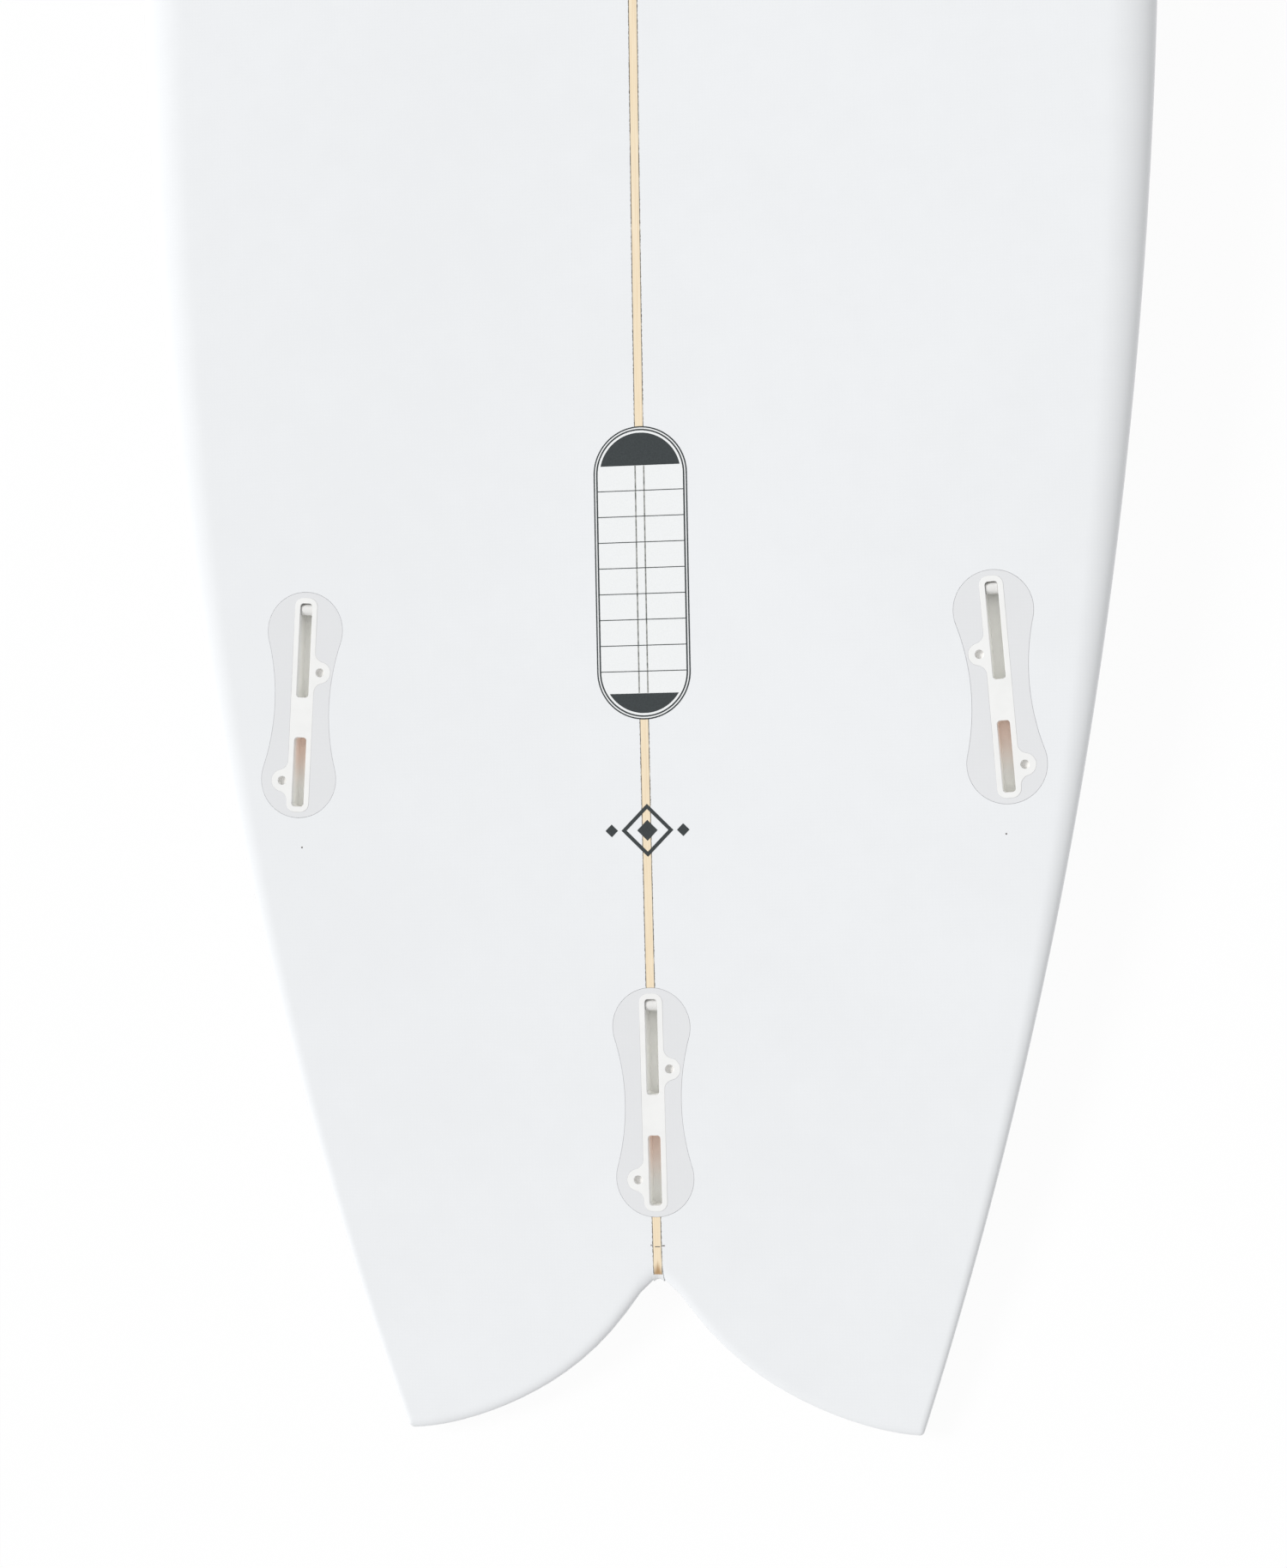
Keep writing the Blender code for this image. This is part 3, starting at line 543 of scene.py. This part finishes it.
def stringer_wood():
    """Pale straight-grained wood under resin: long fibres, a few darker streaks, a brown stain that comes to
    a point at the notch, and the white of the wrapped edge behind it."""
    m, tree, shader, place = new_look("stringer_wood", 0.4, 0.4, 0.18)
    fibre = grain(tree, stretched(tree, place, (2600.0, 26.0, 300.0)), 1.0, 4.0, 0.6)
    streak = grain(tree, stretched(tree, place, (900.0, 6.0, 40.0)), 1.0, 3.0, 0.5)
    colour = blend(tree, span(tree, fibre, 0.3, 0.7), (0.86, 0.70, 0.48), (0.93, 0.80, 0.60))
    colour = blend(tree, span(tree, streak, 0.58, 0.76, 0.0, 0.35), colour, (0.76, 0.55, 0.33))
    out, along = split(tree, place)
    spot = sums(tree, "ADD", along, sums(tree, "MULTIPLY", fibre, 0.005))
    spot = sums(tree, "ADD", spot, sums(tree, "MULTIPLY", out, 2.2))
    colour = blend(tree, span(tree, spot, -0.8820, -0.8755, 0.95, 0.0), colour, (0.42, 0.25, 0.11))
    colour = blend(tree, span(tree, along, *WRAPPED, 1.0, 0.0), colour, (0.80, 0.81, 0.82))
    link(tree, colour, shader["Base Color"])
    bump(tree, shader, fibre, 0.15, 0.0001)
    return m


def dark_glue():
    """Dark glue squeezed out beside the stringer, with an uneven edge and pale breaks; white past it."""
    m, tree, shader, place = new_look("dark_glue", 0.5, 0.4, 0.18)
    out, along = split(tree, place)
    grains = grain(tree, stretched(tree, place, (900.0, 420.0, 420.0)), 1.0, 3.0, 0.65)
    patch = grain(tree, stretched(tree, place, (0.0, 95.0, 0.0)), 1.0, 3.0, 0.6)
    ragged = grain(tree, stretched(tree, place, (60.0, 700.0, 0.0)), 1.0, 3.0, 0.6)
    dark = blend(tree, span(tree, grains, 0.36, 0.64), (0.045, 0.038, 0.03), (0.22, 0.20, 0.17))
    dark = blend(tree, span(tree, patch, 0.50, 0.66, 0.0, 0.75), dark, (0.60, 0.54, 0.45))
    edge = sums(tree, "SUBTRACT", out, sums(tree, "MULTIPLY", ragged, 0.0009))
    colour = blend(tree, span(tree, edge, 0.00185, 0.00205), dark, (0.845, 0.858, 0.872))
    colour = blend(tree, span(tree, along, *WRAPPED, 1.0, 0.0), colour, (0.82, 0.83, 0.84))
    link(tree, colour, shader["Base Color"])
    return m


def satin(name, roughness):
    """A plastic with a fine satin grain in its gloss and its surface, still without a colour."""
    m, tree, shader, place = new_look(name, roughness, 0.1, 0.2)
    fine = grain(tree, place, 900.0, 2.0, 0.5)
    link(tree, span(tree, fine, 0.2, 0.8, roughness - 0.06, roughness + 0.08), shader["Roughness"])
    bump(tree, shader, fine, 0.06, 0.00005)
    return m, tree, shader, place


def moulded(name, dark, light, roughness=0.38):
    """Moulded plastic with a slow change of tone."""
    m, tree, shader, place = satin(name, roughness)
    slow = span(tree, grain(tree, place, 45.0), 0.3, 0.7)
    link(tree, blend(tree, slow, dark, light), shader["Base Color"])
    return m


def plug_plastic():
    """Warm white moulded plastic with painted light: paler down in the slots and holes, the further down the
    paler; the rear slot turns tan towards the nose.
    """
    m, tree, shader, place = satin("plug_plastic", 0.38)
    painted_light_depth = node(tree, "ShaderNodeAttribute", attribute_name="painted_light_depth").outputs["Fac"]
    warm = node(tree, "ShaderNodeAttribute", attribute_name="warm").outputs["Fac"]
    slow = span(tree, grain(tree, place, 120.0), 0.3, 0.7)
    face = blend(tree, slow, (0.875, 0.877, 0.868), (0.90, 0.902, 0.893))
    # painted light: a paler colour for points down in the slots and holes, standing in for light that reaches into
    # them
    painted_light_deep = blend(tree, slow, (0.972, 0.968, 0.932), (0.986, 0.982, 0.95))
    painted_light_deep = blend(tree, span(tree, warm, 0.2, 0.9), painted_light_deep, (0.965, 0.83, 0.745))
    # painted light: blends from the face's colour to the paler one the further down a point lies
    link(tree, blend(tree, span(tree, painted_light_depth, 0.05, 0.6), face, painted_light_deep), shader["Base Color"])
    return m


def bare_metal(name, dark, light, stretch):
    """Drawn metal rod with fine lines along it."""
    m, tree, shader, place = new_look(name, 0.3, 0.0, 0.1, 1.0)
    lines = span(tree, grain(tree, stretched(tree, place, stretch), 1.0, 3.0, 0.55), 0.3, 0.7)
    link(tree, blend(tree, lines, dark, light), shader["Base Color"])
    link(tree, span(tree, lines, 0.0, 1.0, 0.24, 0.4), shader["Roughness"])
    return m


def grainy(name, dark, light, scale, roughness, coat=0.0):
    """A matt or printed surface with a fine uneven grain."""
    m, tree, shader, place = new_look(name, roughness, coat, 0.18)
    fine = grain(tree, place, scale, 3.0, 0.6)
    link(tree, blend(tree, span(tree, fine, 0.3, 0.7), dark, light), shader["Base Color"])
    link(tree, span(tree, fine, 0.2, 0.8, roughness - 0.05, roughness + 0.05), shader["Roughness"])
    bump(tree, shader, fine, 0.1, 0.00006)
    return m


SKIN_WHITE = glassed("glassed_foam", (0.838, 0.853, 0.870), (0.866, 0.882, 0.900))
SURROUND_WHITE = glassed("glassed_surround", (0.768, 0.776, 0.790), (0.792, 0.800, 0.815))
WOOD = stringer_wood()
GLUE = dark_glue()
PLUG_WHITE = plug_plastic()
BARREL_WHITE = moulded("barrel_plastic", (0.80, 0.795, 0.78), (0.83, 0.825, 0.81), 0.3)
CUP_WHITE = moulded("cup_plastic", (0.86, 0.865, 0.865), (0.90, 0.905, 0.905))
PIN = bare_metal("pin_metal", (0.60, 0.59, 0.56), (0.72, 0.71, 0.68), (60.0, 2500.0, 2500.0))
BUFFER = grainy("buffer_rubber", (0.86, 0.84, 0.80), (0.91, 0.89, 0.85), 700.0, 0.7)
FOAM = grainy("white_foam", (0.84, 0.85, 0.86), (0.90, 0.905, 0.91), 700.0, 0.7)
PAPER = grainy("label_paper", (0.86, 0.875, 0.88), (0.895, 0.91, 0.915), 1500.0, 0.4, 0.3)
INK = grainy("label_ink", (0.008, 0.014, 0.016), (0.018, 0.026, 0.029), 1200.0, 0.4, 0.3)
SHADOWED = grainy("lines_under_paper", (0.10, 0.11, 0.10), (0.40, 0.40, 0.38), 420.0, 0.4, 0.3)
PENCIL = grainy("pencil_mark", (0.05, 0.045, 0.04), (0.22, 0.20, 0.18), 900.0, 0.5, 0.3)


def dress(obj, slot, *replaced):
    """Sets a piece on the board's body and hides the solids that it stands for. The slot is not used."""
    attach(obj, BOARD)
    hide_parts(*replaced)


def plug_frames():
    """Frame of each plug from its barrel's joints: x along the pin, y along the slide, z outwards."""
    joints = {j["name"]: j for j in frame["joints"]}
    frames = {}
    for side in EAR_SIDE:
        spin, press = joints[side + "_barrel_spin"], joints[side + "_barrel_press"]
        x, y = np.array(spin["axis"], float), np.array(press["axis"], float)
        z = np.cross(x, y)
        m = np.eye(4)
        m[:3, :3] = np.stack([x, y, z], 1)
        m[:3, 3] = np.array(spin["pos_m"]) - AXLE_Y * y - AXLE_Z * z
        frames[side] = m
    return frames


PLUGS = plug_frames()


def leash_frame():
    """Frame of the leash cup: z out of the deck through its rim."""
    mount = next(m for m in frame["record"]["mounts"] if m["name"] == "leash_cup_rim")
    low, high = (np.array(p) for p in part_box("leash_cup"))
    z = np.array(mount["axis"], float)
    x = np.cross([0.0, 1.0, 0.0], z)
    x /= np.linalg.norm(x)
    middle = (low + high) / 2
    m = np.eye(4)
    m[:3, :3] = np.stack([x, np.cross(z, x), z], 1)
    m[:3, 3] = middle + z * np.dot(np.array(mount["pos_m"]) - middle, z)
    return m


def make_skins():
    """Each half of the glassed skin goes in one sheet from the bottom's middle round the rail to the deck's
    middle. Along the middle the strips of wood and glue show. The surrounds and the leash cup are cut
    out."""
    v = half_shares()
    through = -0.006, 0.012
    tools = {s: prism("tool_" + s, peanut_outline(SKIN_GAP), *through, PLUGS[s], FOAM) for s in PLUGS}
    cup = prism("tool_cup", disc(0, 0, CUP_OPENING, 64), *through, leash_frame(), FOAM)
    for side, sign in (("left", -1), ("right", 1)):
        sheets = []
        for inset in (0.0, SKIN):
            bottom, deck = board_layer(v, GLUE_OUT, inset)
            sheets.append(np.concatenate([bottom, deck[:, -2::-1]], 1) * [sign, 1, 1])
        skin = wall("glassed_skin_" + side, *sheets, SKIN_WHITE)
        cut_by(skin, [tools[side], tools["centre"]] + ([cup] if sign > 0 else []))
        shade(skin)
        dress(skin, "laminate", "bottom_laminate", "deck_laminate")
    for name, sign, near, far, look, slot in (
        ("stringer_left", -1, 0.0, WOOD_HALF, WOOD, "stringer_wood"),
        ("stringer_right", 1, 0.0, WOOD_HALF, WOOD, "stringer_wood"),
        ("glue_left", -1, WOOD_HALF, GLUE_OUT, GLUE, "glue"),
        ("glue_right", 1, WOOD_HALF, GLUE_OUT, GLUE, "glue"),
    ):
        steps = np.linspace(0, 1, 4)
        outer = board_layer(steps, near, 0.0, far)
        inner = board_layer(steps, near, SKIN, far)
        for face, top, under in zip(("bottom", "deck"), outer, inner):
            strip = wall(f"{face}_{name}", top * [sign, 1, 1], under * [sign, 1, 1], look)
            if face == "bottom":
                cut_by(strip, [tools["centre"]])
            shade(strip)
            dress(strip, slot)
    drop(cup, *tools.values())


def store_painted_slot_light_and_tan(plug, place):
    """Stores how far down each point lies in the slots, a share that sets the painted light which pales them
    towards their floors, and how far it is towards the nose in the rear slot. The screw holes take a fixed share
    of the rear slot's tan."""
    near, hole_share = 0.0004, 0.45
    points = np.empty(len(plug.data.vertices) * 3)
    plug.data.vertices.foreach_get("co", points)
    local = (points.reshape(-1, 3) - place[:3, 3]) @ place[:3, :3]
    # painted light: this share of how far down a point lies pales the plug's colour in the slots and holes
    painted_light_depth = np.clip(-local[:, 2] / SLOT_DEEP, 0, 1)
    across = np.abs(local[:, 0])
    rear = (across < SLOT_HALF + near) & (local[:, 1] < REAR_FRONT + near)
    hole = np.abs(across - EAR_OUT) < HOLE_R + near
    forward = np.clip((local[:, 1] - REAR_END) / (REAR_FRONT - REAR_END), 0, 1)
    warm = rear * forward + hole_share * hole
    for name, values in (("painted_light_depth", painted_light_depth), ("warm", warm)):
        plug.data.attributes.new(name, "FLOAT", "POINT").data.foreach_set("value", values)


def surround_face(side, place):
    """The glassed face over a plug's surround: the bottom's surface in the peanut outline, less the plug."""
    long, wide = 0.064, 0.024
    u, w = np.meshgrid(np.linspace(long, -long, 33), np.linspace(-wide, wide, 9), indexing="ij")
    x = place[0, 3] + u * place[0, 1] + w * place[0, 0]
    y = place[1, 3] + u * place[1, 1] + w * place[1, 0]
    top = np.stack([x, y, bottom_height(y)], -1)
    face = wall(side + "_surround_face", top, top - [0, 0, SKIN], SURROUND_WHITE)
    tool = prism("tool_peanut", peanut_outline(-FACE_GAP), -STAND_OUT, STAND_OUT, place, FOAM)
    outline = plug_outline(EAR_SIDE[side], PLUG_GAP)
    gap = prism("tool_gap", outline, -2 * STAND_OUT, 2 * STAND_OUT, place, FOAM)
    cut_by(face, [tool], "INTERSECT")
    cut_by(face, [gap])
    drop(tool, gap)
    shade(face, 30)
    dress(face, "surround_resin")


def make_plugs():
    """Plugs with their slots, ears, screw holes, barrel pockets and pin grooves, and the surrounds' faces.
    The edges are rounded before the pockets and grooves are cut, which lie under the face."""
    for side, place in PLUGS.items():
        hand = EAR_SIDE[side]
        plug = prism(side + "_plug_body", plug_outline(hand), -PLUG_DEEP, 0.0, place, PLUG_WHITE)
        pocket = bar_outline(SLOT_HALF, AXLE_Y - BARREL_R, POCKET_FRONT, FINE_CORNER)
        groove = bar_outline(GROOVE_HALF, AXLE_Y - GROOVE_R, AXLE_Y + GROOVE_R + PRESS, FINE_CORNER)
        ways = (
            (bar_outline(SLOT_HALF, FRONT_BACK, FRONT_END, SLOT_CORNER), -SLOT_DEEP, STAND_OUT),
            (bar_outline(SLOT_HALF, REAR_END, REAR_FRONT, SLOT_CORNER), -SLOT_DEEP, STAND_OUT),
            (disc(hand * EAR_OUT, FRONT_BACK + EAR_UP, HOLE_R), -HOLE_DEEP, STAND_OUT),
            (disc(-hand * EAR_OUT, REAR_END + EAR_UP, HOLE_R), -HOLE_DEEP, STAND_OUT),
            (pocket, POCKET_LOW, POCKET_TOP),
            (groove, AXLE_Z - GROOVE_R, AXLE_Z + GROOVE_R),
        )
        tools = [prism(f"tool_{k}", *way, place, FOAM) for k, way in enumerate(ways)]
        cut_by(plug, tools[:4])
        bevel(plug, FINE_CORNER)
        cut_by(plug, tools[4:])
        drop(*tools)
        shade(plug, 40, place[:3, 2])
        store_painted_slot_light_and_tan(plug, place)
        dress(plug, "plug_plastic", side + "_fin_plug")
        surround_face(side, place)


def inlay(name, patches, lift, thick, look, rings=()):
    """A thin layer on the bottom from patches and rings of x and y, which follow its height at a lift."""
    points, faces, count = [], [], 0
    for patch, ring in [(p, False) for p in patches] + [(p, True) for p in rings]:
        low, high = (np.dstack([patch, bottom_height(patch[..., 1]) + z]) for z in (lift, lift + thick))
        points += [high.reshape(-1, 3), low.reshape(-1, 3)]
        faces.append(wall_faces(*patch.shape[:2], count, ring))
        count += 2 * patch.shape[0] * patch.shape[1]
    obj = new_piece(name, np.concatenate(points), np.concatenate(faces).tolist(), look)
    shade(obj, 30)
    dress(obj, "laminate")


def chords(x, y, levels, reach):
    """A filled patch: at each level along the board a chord that reaches as far to either side."""
    w = np.linspace(-1, 1, 7)
    return np.stack([x + np.outer(reach, w), y + levels[:, None] + 0 * w], -1)


def band(x, y, half_x, half_y):
    """A straight bar."""
    return chords(x, y, np.linspace(half_y, -half_y, 13), np.full(13, half_x))


def pill_chords(half, length, top, low):
    """Levels and chords of a pill, a bar with half-round ends, between two levels."""
    run, steps = length / 2 - half, 60
    t = (1 - np.cos(math.pi * np.arange(steps + 1) / steps)) / 2
    levels = top + (low - top) * t
    over = np.clip(np.abs(levels) - run, 0, half)
    return levels, np.sqrt(half * half - over * over) + 1e-6


def pill_ring(half, length):
    """Outline of a pill, with points all along its sides."""
    run = length / 2 - half
    side = np.column_stack([np.full(25, half), np.linspace(-run, run, 25)])
    turn = np.concatenate([side[:-1], arc(0, run, half, 0, 180, 40)[:-1]])
    return np.concatenate([turn, -turn])


def make_label():
    """A blank paper card under the glass: a pill with a double rim, a dark cap at each end and plain ruled
    rows. The glue lines beside the stringer show through it."""
    x, y, half, length, margin = 0.0003, -0.5374, 0.0238, 0.1461, 0.0032
    rim_edges = (0.0, 0.0007), (0.0013, 0.0021)
    caps = (0.0698, 0.0535), (-0.060, -0.0698)
    rows, row_half = np.linspace(0.041, -0.049, 8), 0.00022
    glue_at, glue_half, glue_run = 0.0022, 0.00035, 0.0566
    card = chords(x, y, *pill_chords(half, length, length / 2, -length / 2))
    inlay("label_card", [card], LIFT, PAPER_THICK, PAPER)
    rims = [np.stack([pill_ring(half - a, length - 2 * a) for a in edges]) + [x, y] for edges in rim_edges]
    field = half - margin, length - 2 * margin
    prints = [chords(x, y, *pill_chords(*field, top, low)) for top, low in caps]
    prints += [band(x, y + row, half - rim_edges[1][1], row_half) for row in rows]
    inlay("label_print", prints, LIFT + PAPER_THICK, PRINT_THICK, INK, rims)
    lines = [band(side * glue_at, y - margin, glue_half, glue_run) for side in (-1, 1)]
    inlay("label_show_through", lines, LIFT + PAPER_THICK, LINE_THICK, SHADOWED)


def lozenge(x, y, half):
    """A full lozenge as chords."""
    t = np.linspace(1, -1, 9)
    return chords(x, y, half * t, half * (1 - np.abs(t)) + 1e-6)


def make_ornament():
    """A plain row of lozenges across the stringer: an open one round a full one, a small one on each side."""
    x, y, apart = 0.0004, -0.6655, 0.0182
    outer, inner, full_half, small_half = 0.0132, 0.0106, 0.0052, 0.0032
    corners = np.array([(1, 0), (0, 1), (-1, 0), (0, -1)])
    open_one = np.stack([corners * outer, corners * inner]) + [x, y]
    full = [lozenge(x, y, full_half)] + [lozenge(x + side * apart, y, small_half) for side in (-1, 1)]
    inlay("lozenge_print", full, LIFT, LOZENGE_THICK, INK, [open_one])


def make_pencil():
    """Pencil marks: a tick across the stringer near the notch and a faint dot behind each side plug."""
    ticks = (
        (0.0002, -0.8727, 0.0013, 0.00022),
        (-0.0029, -0.8720, 0.0004, 0.00028),
        (0.0033, -0.8722, 0.0007, 0.00028),
    )
    spots = (-0.1793, -0.671), (0.1792, -0.6704)
    dot = pill_chords(0.0004, 0.0009, 0.00045, -0.00045)
    marks = [band(*tick) for tick in ticks] + [chords(x, y, *dot) for x, y in spots]
    inlay("pencil_marks", marks, LIFT, PRINT_THICK, PENCIL)


def make_barrels():
    """Each barrel is a short roller on its pin: a profile of length and radius, turned about the pin."""
    half, bore, edge = BARREL_HALF, BARREL_BORE, BARREL_EDGE
    turn = np.radians(np.linspace(0, 90, 7))
    rim = np.stack([half - edge + edge * np.sin(turn), BARREL_R - edge + edge * np.cos(turn)], -1)
    profile = np.concatenate([[(-half, bore)], rim[::-1] * [-1, 1], rim, [(half, bore)]])
    t = np.radians(np.arange(0, 360, 6))
    for side, place in PLUGS.items():
        along, out = profile[:, 0, None] + 0 * t, profile[:, 1, None]
        local = np.stack([along, AXLE_Y + out * np.cos(t), AXLE_Z + out * np.sin(t)], -1)
        points = local.reshape(-1, 3) @ place[:3, :3].T + place[:3, 3]
        index = np.arange(local.shape[0] * len(t)).reshape(-1, len(t))
        index = np.concatenate([index, index[:1]])
        after = np.roll(index, -1, 1)
        quads = np.stack([index[:-1], index[1:], after[1:], after[:-1]], -1).reshape(-1, 4)
        barrel = new_piece(side + "_barrel_roller", points, quads.tolist(), BARREL_WHITE)
        shade(barrel, 30)
        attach(barrel, side + "_barrel")
        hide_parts(side + "_retention_barrel")


def make_pads():
    """The elastic pad ahead of each barrel, each with a mesh of its own."""
    low, high = AXLE_Z - PAD_TALL / 2, AXLE_Z + PAD_TALL / 2
    outline = bar_outline(PAD_HALF, PAD_BACK, PAD_FRONT, FINE_CORNER)
    for side, place in PLUGS.items():
        pad = prism(side + "_pad", outline, low, high, place, BUFFER)
        shade(pad)
        dress(pad, "buffer_rubber", side + "_barrel_buffer")
        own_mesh(pad)


def finish_solids():
    """The CAD's own solids that stay get their finishes."""
    looks = {
        "foam_core_left": FOAM, "foam_core_right": FOAM, "stringer": WOOD, "stringer_glue_left": GLUE,
        "stringer_glue_right": GLUE, "leash_cup": CUP_WHITE, "leash_pin": PIN,
    }
    for side in EAR_SIDE:
        looks[side + "_plug_surround"] = SURROUND_WHITE
        looks[side + "_barrel_pin"] = PIN
    for name, look in looks.items():
        solids[name].data.materials.clear()
        solids[name].data.materials.append(look)


def white_to_eye(tree):
    """1 for a ray that the camera sees, straight, in a gloss or through glass, and 0 for one that lights."""
    path = node(tree, "ShaderNodeLightPath")
    seen = sums(tree, "ADD", path.outputs["Is Camera Ray"], path.outputs["Is Glossy Ray"], True)
    return sums(tree, "ADD", seen, path.outputs["Is Transmission Ray"], True)


def make_floor():
    """A wide white floor that shows white to the camera and keeps a share of the board's shadow."""
    m = bpy.data.materials.new("pale_floor")
    m.use_nodes = True
    tree = m.node_tree
    shader = tree.nodes["Principled BSDF"]
    shader.inputs["Base Color"].default_value = (0.92, 0.92, 0.92, 1.0)
    shader.inputs["Roughness"].default_value = 0.9
    glow = node(tree, "ShaderNodeEmission")
    mixer = node(tree, "ShaderNodeMixShader")
    link(tree, sums(tree, "MULTIPLY", white_to_eye(tree), FLOOR_WHITE), mixer.inputs[0])
    link(tree, shader.outputs[0], mixer.inputs[1])
    link(tree, glow.outputs[0], mixer.inputs[2])
    link(tree, mixer.outputs[0], tree.nodes["Material Output"].inputs["Surface"])
    mesh = bpy.data.meshes.new("floor")
    r = FLOOR_REACH
    mesh.from_pydata([(-r, -r, 0), (r, -r, 0), (r, r, 0), (-r, r, 0)], [], [[0, 1, 2, 3]])
    mesh.materials.append(m)
    floor = bpy.data.objects.new("floor", mesh)
    bpy.context.scene.collection.objects.link(floor)


def look_from(spot, aim):
    """Place of a lamp that stands at spot and points at aim."""
    z = np.array(spot, float) - np.array(aim, float)
    z /= np.linalg.norm(z)
    x = np.cross([0.0, 1.0, 0.0], z)
    x /= np.linalg.norm(x)
    m = np.eye(4)
    m[:3, :3] = np.stack([x, np.cross(z, x), z], 1)
    m[:3, 3] = spot
    return Matrix(m.tolist())


def make_light():
    """Soft light from high on the left, which does not show in gloss, and an even world that looks white."""
    world = bpy.data.worlds.new("studio")
    world.use_nodes = True
    tree = world.node_tree
    sky = tree.nodes["Background"].inputs
    sky["Color"].default_value = (1.0, 1.0, 1.0, 1.0)
    strength = node(tree, "ShaderNodeMapRange")
    link(tree, white_to_eye(tree), strength.inputs["Value"])
    strength.inputs["To Min"].default_value = FILL_LEVEL
    strength.inputs["To Max"].default_value = 1.0
    link(tree, strength.outputs["Result"], sky["Strength"])
    bpy.context.scene.world = world
    lamp = bpy.data.lights.new("key_lamp", "SUN")
    lamp.energy = KEY_LEVEL
    lamp.angle = math.radians(KEY_WIDTH)
    obj = bpy.data.objects.new("key_lamp", lamp)
    bpy.context.scene.collection.objects.link(obj)
    obj.matrix_world = look_from(KEY_FROM, (0, 0, 0))
    obj.visible_glossy = False


def make_camera():
    """The photograph's camera, solved from the slots' ends and the outline: turns about Y, X and Z in
    degrees, then its offset in its own axes."""
    a, b, c = (math.radians(t) for t in CAMERA_TURNS)
    ry = np.array([[math.cos(a), 0, math.sin(a)], [0, 1, 0], [-math.sin(a), 0, math.cos(a)]])
    rx = np.array([[1, 0, 0], [0, math.cos(b), -math.sin(b)], [0, math.sin(b), math.cos(b)]])
    rz = np.array([[math.cos(c), -math.sin(c), 0], [math.sin(c), math.cos(c), 0], [0, 0, 1]])
    turn = rz @ rx @ ry
    m = np.eye(4)
    m[:3, :3] = turn.T
    m[:3, 3] = turn.T @ np.array(CAMERA_OFFSET)
    data = bpy.data.cameras.new("camera")
    data.sensor_fit = "AUTO"
    data.sensor_width = SENSOR
    data.lens = FOCAL_PIXELS * SENSOR / PHOTO_HEIGHT
    data.clip_start = 0.05
    obj = bpy.data.objects.new("camera", data)
    bpy.context.scene.collection.objects.link(obj)
    obj.matrix_world = Matrix(m.tolist())
    bpy.context.scene.camera = obj


make_skins()
make_plugs()
make_barrels()
make_pads()
make_label()
make_ornament()
make_pencil()
finish_solids()
make_floor()
make_light()
make_camera()
bpy.context.scene.view_settings.view_transform = "Standard"
